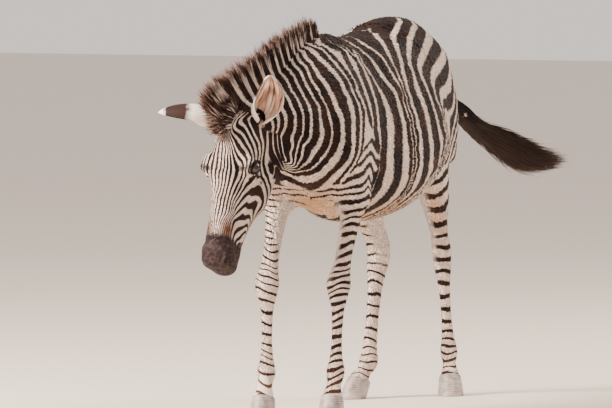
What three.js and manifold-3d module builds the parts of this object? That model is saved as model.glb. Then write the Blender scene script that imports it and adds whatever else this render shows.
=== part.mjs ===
// A young plains zebra, life size: it walks on with its head low and turned a little to its
// right, one ear out to the side, and its tail swung to its left.
// Millimetres. The animal faces -Y, its left side is +X and +Z is up.
// The body is one smooth form, parted by thin flat cuts where its parts are named.
import * as THREE from 'three';
import { mergeVertices } from 'three/addons/utils/BufferGeometryUtils.js';
import Module from 'manifold-3d';

const wasm = await Module();
wasm.setup();

// ---- Driving dimensions ----
const GAP = 0.35; // what a cut takes away between two neighbouring pieces
const WITHERS = 1250; // height of the back over the shoulders
const CROUP = 1304; // height of the back over the hips
const CORONET = 64; // height of the hoof's upper edge, at its middle
const CORONET_SLOPE = 0.34; // how much lower that edge lies toward the heel
const EYE_RADIUS = 21;
const EYE = { down: 194, side: 84, back: 60 }; // its place on the head, as onHead takes it
const EAR_LENGTH = 200;
const EAR_WIDTH = 100;
const EAR_WALL = 5;
const MANE_LENGTH = 150;

const UP = new THREE.Vector3(0, 0, 1);
const AHEAD = new THREE.Vector3(0, -1, 0);
const at = (x, y, z) => new THREE.Vector3(x, y, z);
const rad = THREE.MathUtils.degToRad;

// ---- The head's own directions ----
const POLL = at(-150, -250, 1036); // top of the head, between the ears
const HEAD_TURN = rad(8.5); // how far the nose points to the animal's right
const HEAD_HANG = rad(78); // how far the face line hangs below level
const heading = at(-Math.sin(HEAD_TURN), -Math.cos(HEAD_TURN), 0);
const DOWN_FACE = heading.clone().multiplyScalar(Math.cos(HEAD_HANG)).addScaledVector(UP, -Math.sin(HEAD_HANG));
const OUT_OF_FACE = heading.clone().multiplyScalar(Math.sin(HEAD_HANG)).addScaledVector(UP, Math.cos(HEAD_HANG));
const HEAD_LEFT = at(Math.cos(HEAD_TURN), -Math.sin(HEAD_TURN), 0);

// A place on the head: down the face from the poll, to the left, and back from the face line.
function onHead(down, left, back) {
  return POLL.clone()
    .addScaledVector(DOWN_FACE, down)
    .addScaledVector(HEAD_LEFT, left)
    .addScaledVector(OUT_OF_FACE, -back);
}

// ---- The body's forms ----
// Each form follows a line of stations. A station has a half width, and a half depth over and
// under the line, where over is the side that the form's own direction points to. The rounding
// is 2 for an ellipse, less for a ridge and more for a fuller curve.

// The trunk, from the breast to the buttocks: how high the back and the belly are.
const trunk = {
  over: UP,
  blend: 0,
  caps: [70, 50],
  stations: [
    { y: -10, back: 1040, belly: 760, side: 112, widest: 900, round: 2 },
    { y: 80, back: 1150, belly: 700, side: 150, widest: 915, round: 1.9 },
    { y: 170, back: 1215, belly: 665, side: 172, widest: 925, round: 1.75 },
    { y: 285, back: WITHERS, belly: 640, side: 190, widest: 925, round: 1.7 },
    { y: 400, back: 1246, belly: 625, side: 222, widest: 905, round: 1.9 },
    { y: 550, back: 1252, belly: 618, side: 254, widest: 900, round: 2 },
    { y: 700, back: 1274, belly: 634, side: 260, widest: 915, round: 2.05 },
    { y: 840, back: 1300, belly: 692, side: 226, widest: 975, round: 2.1 },
    { y: 950, back: CROUP, belly: 760, side: 188, widest: 1000, round: 2.1 },
    { y: 1060, back: 1270, belly: 810, side: 146, widest: 1010, round: 2 },
    { y: 1150, back: 1190, belly: 855, side: 96, widest: 1020, round: 2 },
  ].map((s) => ({
    at: at(0, s.y, s.widest),
    side: s.side,
    over: s.back - s.widest,
    under: s.widest - s.belly,
    round: s.round,
  })),
};

// The neck, from inside the shoulders to behind the skull.
const neck = {
  over: UP,
  blend: 110,
  caps: [60, 40],
  stations: [
    { at: at(4, 250, 985), side: 138, over: 236, under: 240, round: 1.8 },
    { at: at(-22, 120, 972), side: 120, over: 226, under: 200, round: 1.8 },
    { at: at(-64, 0, 962), side: 96, over: 178, under: 160, round: 1.85 },
    { at: at(-104, -100, 955), side: 80, over: 132, under: 122, round: 1.9 },
    { at: at(-136, -184, 952), side: 70, over: 106, under: 98, round: 2 },
  ],
};

// The head's main block, station by station down the face: how deep it is from face to jaw.
const skull = {
  over: OUT_OF_FACE,
  blend: 34,
  caps: [34, 22],
  stations: [
    { down: 30, front: 8, jaw: 118, side: 57, round: 2.2 },
    { down: 95, front: 16, jaw: 190, side: 74, round: 2.3 },
    { down: 165, front: 17, jaw: 232, side: 82, round: 2.3 },
    { down: 230, front: 15, jaw: 240, side: 79, round: 2.2 },
    { down: 300, front: 13, jaw: 214, side: 69, round: 2.2 },
    { down: 370, front: 12, jaw: 170, side: 58, round: 2.2 },
    { down: 430, front: 13, jaw: 136, side: 54, round: 2.3 },
    { down: 485, front: 14, jaw: 120, side: 56, round: 2.3 },
    { down: 522, front: 6, jaw: 108, side: 52, round: 2.3 },
  ].map((s) => ({
    at: onHead(s.down, 0, (s.jaw - s.front) / 2),
    side: s.side,
    over: (s.jaw + s.front) / 2,
    under: (s.jaw + s.front) / 2,
    round: s.round,
  })),
};

// A short rounded form between two places, such as a muscle or a swelling of the head.
function swelling(from, to, side, depth, over, blend) {
  const end = { side, over: depth, under: depth, round: 2 };
  return { over, blend, caps: [depth * 0.8, depth * 0.8], stations: [{ at: from, ...end }, { at: to, ...end }] };
}

function headSwellings(left) {
  return [
    // cheek
    swelling(onHead(205, left * 52, 176), onHead(280, left * 40, 160), 36, 56, OUT_OF_FACE, 40),
    // ridge of the brow, over the eye
    swelling(onHead(166, left * 72, 30), onHead(206, left * 84, 30), 20, 18, OUT_OF_FACE, 24),
    // lids, round the eyeball
    swelling(
      onHead(EYE.down - 14, left * (EYE.side - 19), EYE.back),
      onHead(EYE.down + 14, left * (EYE.side - 19), EYE.back),
      31,
      31,
      OUT_OF_FACE,
      20,
    ),
    // nostril
    swelling(onHead(476, left * 32, 20), onHead(506, left * 36, 30), 22, 22, OUT_OF_FACE, 18),
  ];
}

const chin = swelling(onHead(515, 0, 84), onHead(532, 0, 78), 34, 26, OUT_OF_FACE, 20);
const throat = swelling(onHead(70, 0, 120), onHead(120, 0, 200), 56, 60, OUT_OF_FACE, 60);

// The shoulder blade and the upper arm, on one side.
function shoulder(left, elbow) {
  return {
    over: AHEAD,
    blend: 70,
    caps: [50, 40],
    stations: [
      { at: at(left * 66, 262, 1130), side: 46, over: 70, under: 80, round: 2 },
      { at: at(left * 112, 165, 1010), side: 62, over: 95, under: 100, round: 2 },
      { at: at(left * 128, 90, 900), side: 60, over: 92, under: 105, round: 2 },
      { at: at(left * 128, elbow.y - 45, 800), side: 58, over: 82, under: 96, round: 2 },
      { at: elbow, side: 50, over: 62, under: 74, round: 2 },
    ],
  };
}

// A fore leg's thickness between its joints: elbow, knee, fetlock, coronet and sole.
const FORE_LEG = [
  { bone: 0, along: 0, side: 44, front: 56, heel: 58 },
  { bone: 0, along: 0.3, side: 34, front: 46, heel: 44 },
  { bone: 0, along: 0.65, side: 29, front: 35, heel: 33 },
  { bone: 0, along: 0.86, side: 35, front: 38, heel: 33 },
  { bone: 1, along: 0, side: 42, front: 43, heel: 38 },
  { bone: 1, along: 0.14, side: 33, front: 33, heel: 36 },
  { bone: 1, along: 0.3, side: 22, front: 22, heel: 30 },
  { bone: 1, along: 0.6, side: 18, front: 20, heel: 27 },
  { bone: 1, along: 0.84, side: 22, front: 22, heel: 30 },
  { bone: 2, along: 0, side: 31, front: 29, heel: 37 },
  { bone: 2, along: 0.5, side: 24, front: 24, heel: 30 },
  { bone: 3, along: 0, side: 34, front: 36, heel: 38 },
  { bone: 3, along: 1, side: 38, front: 40, heel: 38 },
];

// A hind leg's thickness between its joints: stifle, hock, fetlock, coronet and sole.
const HIND_LEG = [
  { bone: 0, along: 0, side: 64, front: 126, heel: 186 },
  { bone: 0, along: 0.34, side: 54, front: 88, heel: 106 },
  { bone: 0, along: 0.66, side: 37, front: 52, heel: 56 },
  { bone: 0, along: 0.86, side: 31, front: 39, heel: 55 },
  { bone: 1, along: 0, side: 35, front: 38, heel: 56 },
  { bone: 1, along: 0.16, side: 31, front: 34, heel: 44 },
  { bone: 1, along: 0.34, side: 22, front: 25, heel: 33 },
  { bone: 1, along: 0.62, side: 18, front: 22, heel: 30 },
  { bone: 1, along: 0.86, side: 22, front: 24, heel: 32 },
  { bone: 2, along: 0, side: 30, front: 30, heel: 38 },
  { bone: 2, along: 0.5, side: 23, front: 24, heel: 30 },
  { bone: 3, along: 0, side: 33, front: 36, heel: 38 },
  { bone: 3, along: 1, side: 38, front: 40, heel: 38 },
];

// The legs: where each joint is, and how far the toe points outward.
const legs = {
  foreleg_left: {
    left: 1,
    toeOut: rad(6),
    profile: FORE_LEG,
    joints: [at(128, 186, 716), at(106, 98, 436), at(100, 84, 146), at(104, 44, CORONET), at(107, 24, 0)],
  },
  foreleg_right: {
    left: -1,
    toeOut: rad(-8),
    profile: FORE_LEG,
    joints: [at(-126, 150, 712), at(-103, -20, 440), at(-101, -32, 150), at(-95, -72, CORONET), at(-92, -92, 0)],
  },
  hindleg_left: {
    left: 1,
    toeOut: rad(25),
    profile: HIND_LEG,
    joints: [at(114, 962, 800), at(104, 1112, 500), at(110, 1172, 148), at(126, 1138, CORONET), at(136, 1117, 0)],
  },
  hindleg_right: {
    left: -1,
    toeOut: rad(25),
    profile: HIND_LEG,
    joints: [at(-122, 906, 800), at(-104, 1044, 494), at(-91, 916, 124), at(-108, 878, CORONET), at(-117, 858, 0)],
  },
};

function legForm(leg) {
  const ahead = at(leg.left * Math.sin(leg.toeOut), -Math.cos(leg.toeOut), 0);
  const stations = leg.profile.map((row) => {
    const place = leg.joints[row.bone].clone().lerp(leg.joints[row.bone + 1], row.along);
    return { at: place, side: row.side, over: row.front, under: row.heel, round: 2.15 };
  });
  return { over: ahead, blend: 32, caps: [60, 30], stations };
}

// The haunch of one side, from the croup down over the thigh to the stifle.
function haunch(left, stifle) {
  return {
    over: AHEAD,
    blend: 90,
    caps: [60, 50],
    stations: [
      { at: at(left * 78, 985, 1130), side: 70, over: 120, under: 120, round: 2 },
      { at: at(left * 104, (1000 + stifle.y) / 2 + 10, 960), side: 76, over: 140, under: 180, round: 2 },
      { at: stifle.clone().add(at(0, 10, 40)), side: 66, over: 130, under: 190, round: 2 },
    ],
  };
}

// The root of the tail, swung out to the left.
const dock = {
  over: UP,
  blend: 36,
  caps: [20, 16],
  stations: [
    { at: at(0, 1140, 1120), side: 36, over: 34, under: 36, round: 2 },
    { at: at(8, 1218, 1072), side: 27, over: 24, under: 26, round: 2 },
    { at: at(38, 1285, 1020), side: 20, over: 18, under: 19, round: 2 },
    { at: at(88, 1340, 960), side: 17, over: 16, under: 16, round: 2 },
    { at: at(150, 1388, 896), side: 15, over: 15, under: 15, round: 2 },
    { at: at(205, 1420, 862), side: 11, over: 12, under: 12, round: 2 },
  ],
};

const forms = [
  trunk,
  neck,
  shoulder(1, legs.foreleg_left.joints[0]),
  shoulder(-1, legs.foreleg_right.joints[0]),
  haunch(1, legs.hindleg_left.joints[0]),
  haunch(-1, legs.hindleg_right.joints[0]),
  throat,
  skull,
  ...headSwellings(1),
  ...headSwellings(-1),
  chin,
  ...Object.values(legs).map(legForm),
  dock,
];

// ---- How far a point is from the body ----
const STEPS = 5; // samples of a form between two stations

// A smooth curve through evenly spaced values.
function through(values, place) {
  const i = Math.min(Math.floor(place), values.length - 2);
  const f = place - i;
  const p0 = values[Math.max(i - 1, 0)];
  const p1 = values[i];
  const p2 = values[i + 1];
  const p3 = values[Math.min(i + 2, values.length - 1)];
  return p1 + 0.5 * f * (p2 - p0 + f * (2 * p0 - 5 * p1 + 4 * p2 - p3 + f * (3 * (p1 - p2) + p3 - p0)));
}

function sampled(form) {
  const { stations } = form;
  const last = stations.length - 1;
  const line = new THREE.CatmullRomCurve3(stations.map((s) => s.at), false, 'centripetal');
  const samples = [];
  for (let i = 0; i <= last * STEPS; i += 1) {
    const share = i / (last * STEPS);
    const place = share * last;
    const along = line.getTangent(share);
    const over = form.over.clone().addScaledVector(along, -form.over.dot(along)).normalize();
    const sizes = {};
    for (const size of ['side', 'over', 'under', 'round']) {
      sizes[size] = through(stations.map((s) => s[size]), place);
    }
    samples.push({ at: line.getPoint(share), along, overward: over, sideward: along.clone().cross(over), ...sizes });
  }
  const reach = new THREE.Box3().setFromPoints(samples.map((s) => s.at));
  reach.expandByScalar(Math.max(...samples.map((s) => Math.max(s.side, s.over, s.under))));
  return { samples, reach, blend: form.blend, caps: form.caps };
}

const sampledForms = forms.map(sampled);
const FAR = 160; // past this a form can't move the surface

// Distance to one form: to the rounded section at the nearest place of its line.
function formDistance({ samples, reach, caps }, point) {
  const away = reach.distanceToPoint(point);
  if (away > FAR) return away;
  let nearest = Infinity;
  let index = 0;
  let share = 0;
  for (let i = 0; i + 1 < samples.length; i += 1) {
    const a = samples[i].at;
    const b = samples[i + 1].at;
    const dx = b.x - a.x;
    const dy = b.y - a.y;
    const dz = b.z - a.z;
    const px = point.x - a.x;
    const py = point.y - a.y;
    const pz = point.z - a.z;
    const f = Math.min(Math.max((px * dx + py * dy + pz * dz) / (dx * dx + dy * dy + dz * dz), 0), 1);
    const distance = (px - f * dx) ** 2 + (py - f * dy) ** 2 + (pz - f * dz) ** 2;
    if (distance < nearest) {
      nearest = distance;
      index = i;
      share = f;
    }
  }
  const a = samples[index];
  const b = samples[index + 1];
  const mix = (key) => a[key] + (b[key] - a[key]) * share;
  const offset = point.clone().sub(a.at.clone().lerp(b.at, share));
  const sideward = a.sideward.clone().lerp(b.sideward, share);
  const overward = a.overward.clone().lerp(b.overward, share);
  const along = a.along.clone().lerp(b.along, share);
  const sideAway = Math.abs(offset.dot(sideward));
  const overAway = offset.dot(overward);
  const endAway = Math.abs(offset.dot(along));
  const half = [mix('side'), overAway > 0 ? mix('over') : mix('under'), caps[index === 0 && share < 0.5 ? 0 : 1]];
  const round = mix('round');
  const ratios = [sideAway / half[0], Math.abs(overAway) / half[1], endAway / half[2]];
  const power = ratios.reduce((sum, r) => sum + r ** round, 0);
  const scaled = power ** (1 / round);
  if (scaled < 0.02) return -Math.min(half[0], half[1]);
  const slope = Math.hypot(...ratios.map((r, i) => (r / scaled) ** (round - 1) / half[i]));
  return (scaled - 1) / slope;
}

// Distance to the whole body, its forms flowing into each other.
function bodyDistance(point) {
  let distance = Infinity;
  for (const form of sampledForms) {
    const next = formDistance(form, point);
    const flow = Math.max(form.blend - Math.abs(distance - next), 0) / Math.max(form.blend, 1);
    distance = Math.min(distance, next) - (flow * flow * form.blend) / 4;
  }
  return distance;
}

// ---- A faceted skin over part of the body ----
const solidOf = (geometry) => {
  const bare = geometry.clone();
  bare.deleteAttribute('normal');
  bare.deleteAttribute('uv');
  const merged = mergeVertices(bare, 1e-3);
  const mesh = new wasm.Mesh({
    numProp: 3,
    vertProperties: new Float32Array(merged.attributes.position.array),
    triVerts: new Uint32Array(merged.index.array),
  });
  return new wasm.Manifold(mesh);
};

function geometryOf(solid) {
  const mesh = solid.getMesh();
  const geometry = new THREE.BufferGeometry();
  geometry.setAttribute('position', new THREE.BufferAttribute(new Float32Array(mesh.vertProperties), 3));
  geometry.setIndex(new THREE.BufferAttribute(new Uint32Array(mesh.triVerts), 1));
  geometry.computeVertexNormals();
  return geometry;
}

// A box between two corners.
function block(low, high) {
  const box = new THREE.BoxGeometry(high.x - low.x, high.y - low.y, high.z - low.z);
  return box.translate((low.x + high.x) / 2, (low.y + high.y) / 2, (low.z + high.z) / 2);
}

function faceted(points, faces) {
  const geometry = new THREE.BufferGeometry();
  geometry.setAttribute('position', new THREE.Float32BufferAttribute(points.flatMap((p) => p.toArray()), 3));
  geometry.setIndex(faces.flat());
  return geometry;
}

// Moves a point straight on to the body's surface.
function settle(point, limit) {
  const start = point.clone();
  for (let turn = 0; turn < 4; turn += 1) {
    const here = bodyDistance(point);
    const slope = at(
      bodyDistance(at(point.x + 1, point.y, point.z)) - here,
      bodyDistance(at(point.x, point.y + 1, point.z)) - here,
      bodyDistance(at(point.x, point.y, point.z + 1)) - here,
    );
    point.addScaledVector(slope, -here / Math.max(slope.lengthSq(), 0.2));
  }
  const moved = point.clone().sub(start);
  if (moved.length() > limit) point.copy(start).addScaledVector(moved.normalize(), limit);
  return point;
}

// Cells over the box, one corner of the skin in each cell that the surface crosses, and four
// neighbouring corners joined across each cell edge that it crosses.
function skinWithin(low, high, cell) {
  const counts = ['x', 'y', 'z'].map((axis) => Math.max(Math.round((high[axis] - low[axis]) / cell[axis]), 2) + 1);
  const step = at(
    (high.x - low.x) / (counts[0] - 1),
    (high.y - low.y) / (counts[1] - 1),
    (high.z - low.z) / (counts[2] - 1),
  );
  const place = (i, j, k) => at(low.x + i * step.x, low.y + j * step.y, low.z + k * step.z);
  const id = (i, j, k) => (i * counts[1] + j) * counts[2] + k;
  const value = new Float64Array(counts[0] * counts[1] * counts[2]);
  const edge = (i, n) => i === 0 || i === n - 1;
  const onRim = (i, j, k) => edge(i, counts[0]) || edge(j, counts[1]) || edge(k, counts[2]);
  const eachCorner = (visit) => {
    for (let i = 0; i < counts[0]; i += 1) {
      for (let j = 0; j < counts[1]; j += 1) {
        for (let k = 0; k < counts[2]; k += 1) visit(i, j, k);
      }
    }
  };
  eachCorner((i, j, k) => {
    const distance = bodyDistance(place(i, j, k));
    value[id(i, j, k)] = onRim(i, j, k) ? Math.max(distance, 5) : distance;
  });
  // Where two corners of a cell's side are inside and meet only across its diagonal, the skin would
  // touch itself: the nearer of the other two is taken inside as well.
  const square = [[0, 0], [1, 0], [1, 1], [0, 1]];
  let touching = true;
  while (touching) {
    touching = false;
    eachCorner((...here) => {
      for (let axis = 0; axis < 3; axis += 1) {
        const u = (axis + 1) % 3;
        const v = (axis + 2) % 3;
        if (here[u] + 1 >= counts[u] || here[v] + 1 >= counts[v]) continue;
        const ids = square.map(([du, dv]) => {
          const corner = [...here];
          corner[u] += du;
          corner[v] += dv;
          return id(...corner);
        });
        const inside = ids.map((n) => value[n] < 0);
        if (inside[0] !== inside[2] || inside[1] !== inside[3] || inside[0] === inside[1]) continue;
        const outer = ids.filter((n) => value[n] >= 0);
        value[value[outer[0]] < value[outer[1]] ? outer[0] : outer[1]] = -0.5;
        touching = true;
      }
    });
  }
  const points = [];
  const pointOf = new Map();
  const cellCorners = [];
  for (let c = 0; c < 8; c += 1) cellCorners.push([c & 1, (c >> 1) & 1, (c >> 2) & 1]);
  eachCorner((i, j, k) => {
    if (i + 1 >= counts[0] || j + 1 >= counts[1] || k + 1 >= counts[2]) return;
    const crossings = [];
    let atRim = false;
    for (const a of cellCorners) {
      const from = [i + a[0], j + a[1], k + a[2]];
      if (onRim(...from)) atRim = true;
      for (let axis = 0; axis < 3; axis += 1) {
        if (a[axis] === 1) continue;
        const to = [...from];
        to[axis] += 1;
        const va = value[id(...from)];
        const vb = value[id(...to)];
        if (va < 0 === vb < 0) continue;
        crossings.push(place(...from).lerp(place(...to), va / (va - vb)));
      }
    }
    if (crossings.length === 0) return;
    const middle = crossings.reduce((sum, p) => sum.add(p), at(0, 0, 0)).divideScalar(crossings.length);
    if (!atRim) settle(middle, Math.min(step.x, step.y, step.z) * 0.6);
    pointOf.set(id(i, j, k), points.length);
    points.push(middle);
  });
  const faces = [];
  eachCorner((i, j, k) => {
    const here = [i, j, k];
    for (let axis = 0; axis < 3; axis += 1) {
      const to = [...here];
      to[axis] += 1;
      if (to[axis] >= counts[axis]) continue;
      const inside = value[id(...here)] < 0;
      if (inside === value[id(...to)] < 0) continue;
      const u = (axis + 1) % 3;
      const v = (axis + 2) % 3;
      const ring = square.map(([du, dv]) => {
        const c = [...here];
        c[u] -= du;
        c[v] -= dv;
        return pointOf.get(id(...c));
      });
      if (!inside) ring.reverse();
      const [a, b, c, d] = ring;
      const acrossAC = points[a].distanceTo(points[c]);
      const acrossBD = points[b].distanceTo(points[d]);
      if (acrossAC <= acrossBD) faces.push([a, b, c], [a, c, d]);
      else faces.push([a, b, d], [b, c, d]);
    }
  });
  return solidOf(faceted(points, faces));
}

// ---- The cuts ----
const WIDE = 3000;

// Everything on the side of a plane that its direction points to, set back by half the gap.
function beyond(place, direction) {
  const box = new THREE.BoxGeometry(WIDE, WIDE, WIDE).translate(0, 0, WIDE / 2 + GAP / 2);
  const turn = new THREE.Quaternion().setFromUnitVectors(UP, direction.clone().normalize());
  box.applyQuaternion(turn).translate(place.x, place.y, place.z);
  return solidOf(box);
}

const level = (z) => at(0, 0, z);
const back = (y) => at(0, y, 0);
const DOWN = UP.clone().negate();
const BEHIND = AHEAD.clone().negate();

const headCut = { place: onHead(30, 0, 92), direction: at(0.15, 0.88, 0.45) };
const neckCut = { place: at(-10, 92, 985), direction: at(0.14, 0.9, -0.42) };
const SHOULDERS_END = 345;
const RUMP_START = 800;

// The space that one leg takes: the armpit or groin, its front and rear, and how far the face that
// parts the leg from the trunk leans outward on its way up.
const legSpaces = {
  foreleg_left: { x: 34, z: 652, front: -78, end: 262, lean: rad(52) },
  foreleg_right: { x: 34, z: 652, front: -78, end: 262, lean: rad(52) },
  hindleg_left: { x: 26, z: 724, front: 790, end: 1500, lean: rad(42) },
  hindleg_right: { x: 26, z: 724, front: 740, end: 1500, lean: rad(42) },
};

function legSpace(name, grow) {
  const { left } = legs[name];
  const { x, z, front, end, lean } = legSpaces[name];
  const [hanging, leaning] = [0, lean].map((turn) => {
    const space = block(at(-grow, front - grow, -1400), at(1400, end + grow, grow));
    space.rotateY(-turn).scale(left, 1, 1).translate(left * x, 0, z);
    if (left < 0) space.index.array.reverse();
    return solidOf(space);
  });
  return hanging.add(leaning);
}

// Ahead of this plane is the jaw: nothing there belongs to a leg.
const behindJaw = beyond(at(0, -50, 640), at(0, 0.9, -0.45));

const legSolid = Object.fromEntries(Object.keys(legs).map((name) => [name, legSpace(name, 0)]));
const legRoom = Object.fromEntries(Object.keys(legs).map((name) => [name, legSpace(name, GAP)]));

// The space that the tail takes: a block at its root, and all that is behind the buttocks.
const BUTTOCKS_END = 1268;

function dockSpace(grow) {
  const box = new THREE.BoxGeometry(96 + 2 * grow, 110 + 2 * grow, 200).translate(0, 0, 100 - grow);
  const turn = new THREE.Quaternion().setFromUnitVectors(UP, at(0.14, 0.88, -0.45).normalize());
  const root = solidOf(box.applyQuaternion(turn).translate(8, 1200, 1082));
  return root.add(beyond(back(BUTTOCKS_END - grow), BEHIND));
}

// ---- The trunk, neck and head ----
const TRUNK_CELL = at(73, 80, 72);
const NECK_CELL = at(50, 54, 50);
const HEAD_CELL = at(31, 32, 34);
const MUZZLE_CELL = at(22, 23, 24);

const flesh = {};

const trunkSkin = skinWithin(at(-330, -160, 560), at(330, 1330, 1360), TRUNK_CELL);
let trunkSolid = trunkSkin.intersect(beyond(neckCut.place, neckCut.direction));
for (const name of Object.keys(legs)) trunkSolid = trunkSolid.subtract(legRoom[name]);
trunkSolid = trunkSolid.subtract(dockSpace(GAP));
flesh.shoulders = trunkSolid.intersect(beyond(back(SHOULDERS_END), AHEAD));
flesh.barrel = trunkSolid.intersect(beyond(back(SHOULDERS_END), BEHIND)).intersect(beyond(back(RUMP_START), AHEAD));
flesh.rump = trunkSolid.intersect(beyond(back(RUMP_START), BEHIND));

const neckSkin = skinWithin(at(-260, -330, 640), at(220, 330, 1340), NECK_CELL);
flesh.neck = neckSkin
  .intersect(beyond(neckCut.place, neckCut.direction.clone().negate()))
  .intersect(beyond(headCut.place, headCut.direction));

const MUZZLE_FROM = 392; // how far down the face the muzzle is named from
const muzzleCut = { place: onHead(MUZZLE_FROM, 0, 0), direction: DOWN_FACE };
const headward = headCut.direction.clone().negate();
const headSkin = skinWithin(at(-320, -520, 560), at(40, -70, 1140), HEAD_CELL);
flesh.head = headSkin
  .intersect(beyond(headCut.place, headward))
  .intersect(beyond(muzzleCut.place, DOWN_FACE.clone().negate()));
flesh.muzzle = skinWithin(at(-300, -520, 430), at(-20, -170, 780), MUZZLE_CELL)
  .intersect(beyond(muzzleCut.place, DOWN_FACE));

// ---- The legs ----
const KNEE_FOOT = 388; // where the cannon is parted from the knee or hock above it
const HOCK_FOOT = 432;
const FETLOCK_TOP = 184;

// The plane of a hoof's upper edge, which falls toward the heel.
function coronetCut(leg) {
  const ahead = at(leg.left * Math.sin(leg.toeOut), -Math.cos(leg.toeOut), 0);
  return { place: leg.joints[3], direction: UP.clone().addScaledVector(ahead, -CORONET_SLOPE) };
}

function boxAround(places, margin) {
  const box = new THREE.Box3().setFromPoints(places);
  return [box.min.sub(at(margin, margin, 0)), box.max.add(at(margin, margin, 0))];
}

for (const [name, leg] of Object.entries(legs)) {
  const hind = leg.profile === HIND_LEG;
  const foot = level(hind ? HOCK_FOOT : KNEE_FOOT);
  const [joint0, joint1, joint2, joint3, joint4] = leg.joints;
  const upperCell = hind ? at(43, 44, 48) : at(35, 36, 45);
  const top = hind ? 1060 : 900;
  const [upperLow, upperHigh] = boxAround([joint0, joint1], hind ? 330 : 200);
  upperLow.z = foot.z - 90;
  upperHigh.z = top;
  flesh[`${name}_upper`] = skinWithin(upperLow, upperHigh, upperCell)
    .intersect(legSolid[name])
    .intersect(behindJaw)
    .intersect(beyond(neckCut.place, neckCut.direction))
    .intersect(beyond(foot, UP));
  const [cannonLow, cannonHigh] = boxAround([joint1, joint2], 90);
  cannonLow.z = FETLOCK_TOP - 60;
  cannonHigh.z = foot.z + 60;
  flesh[`${name}_cannon`] = skinWithin(cannonLow, cannonHigh, at(17, 18, 42))
    .intersect(beyond(foot, DOWN))
    .intersect(beyond(level(FETLOCK_TOP), UP));
  const [pasternLow, pasternHigh] = boxAround([joint2, joint3, joint4], 90);
  pasternLow.z = -30;
  pasternHigh.z = FETLOCK_TOP + 56;
  const coronet = coronetCut(leg);
  flesh[`${name}_pastern`] = skinWithin(pasternLow, pasternHigh, at(19, 20, 28))
    .intersect(beyond(level(FETLOCK_TOP), DOWN))
    .intersect(beyond(coronet.place, coronet.direction));
}

// ---- Hooves ----
const HOOF = {
  sides: 16,
  rings: [
    { height: 0, side: 43, toe: 52, heel: 40 },
    { height: 0.12, side: 44, toe: 52, heel: 41 },
    { height: 0.62, side: 40, toe: 45, heel: 40 },
    { height: 1, side: 36, toe: 39, heel: 39 },
  ],
  heelFlat: 0.62, // the heel's outline is squarer than the toe's
};

// Closes a stack of rings of points into one body, its first and last ring as flat ends. Seen from
// the last ring, each ring runs anticlockwise.
function stacked(rings) {
  const count = rings[0].length;
  const points = rings.flat();
  const faces = [];
  for (let r = 0; r + 1 < rings.length; r += 1) {
    for (let i = 0; i < count; i += 1) {
      const next = (i + 1) % count;
      const a = r * count + i;
      const b = r * count + next;
      faces.push([a, b, b + count], [a, b + count, a + count]);
    }
  }
  const last = (rings.length - 1) * count;
  for (let i = 1; i + 1 < count; i += 1) {
    faces.push([0, i + 1, i], [last, last + i, last + i + 1]);
  }
  return faceted(points, faces);
}

function hoof(leg) {
  const ahead = at(leg.left * Math.sin(leg.toeOut), -Math.cos(leg.toeOut), 0);
  const aside = ahead.clone().cross(UP).negate();
  const [sole, top] = [leg.joints[4].clone().addScaledVector(ahead, 8), leg.joints[3]];
  const cut = coronetCut(leg);
  const rings = HOOF.rings.map((ring) => {
    const middle = sole.clone().lerp(top, ring.height);
    const points = [];
    for (let i = 0; i < HOOF.sides; i += 1) {
      const angle = (2 * Math.PI * i) / HOOF.sides;
      const toeward = Math.cos(angle);
      const length = toeward > 0 ? ring.toe * toeward : -ring.heel * Math.abs(toeward) ** HOOF.heelFlat;
      const point = middle.clone().addScaledVector(ahead, length);
      point.addScaledVector(aside, ring.side * Math.sin(angle) * (1 - 0.12 * Math.max(-toeward, 0)));
      const slope = cut.direction.dot(point.clone().sub(middle)) - (point.z - middle.z) * cut.direction.z;
      point.z -= slope * ring.height;
      if (ring.height === 1) point.z -= GAP;
      points.push(point);
    }
    return points;
  });
  return solidOf(stacked(rings));
}

// ---- Eyes ----
const eyePlace = (left) => onHead(EYE.down, left * EYE.side, EYE.back);

function eyeball(left, radius) {
  const ball = new THREE.SphereGeometry(radius, 10, 6);
  const place = eyePlace(left);
  return solidOf(ball.translate(place.x, place.y, place.z));
}

for (const left of [1, -1]) flesh.head = flesh.head.subtract(eyeball(left, EYE_RADIUS + GAP));

// ---- Ears ----
// A leaf curled round its length: a thick stalk at the base that opens into a cup and ends in a
// point. Its middle line bows to one side.
const ears = {
  ear_left: {
    base: onHead(36, 58, 94),
    tip: at(0.4, -0.44, 0.8),
    opening: at(0.55, -0.83, 0),
    bow: 20,
    offSkin: at(0.6, -0.1, 0.7),
  },
  ear_right: {
    base: onHead(32, -66, 50),
    tip: at(-0.93, -0.35, 0.09),
    opening: at(-0.1, 0.1, -0.99),
    bow: 0,
    offSkin: at(-0.7, -0.1, 0.7),
  },
};
const EAR_RINGS = 6;
const EAR_SIDES = 5; // corners of the outer curve

// Half the ear's width at a share of its length.
function earHalf(share) {
  const swell = Math.sin(Math.PI * Math.min(share * 0.88 + 0.12, 1)) ** 0.62;
  return Math.max((EAR_WIDTH / 2) * swell, 3);
}

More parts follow.
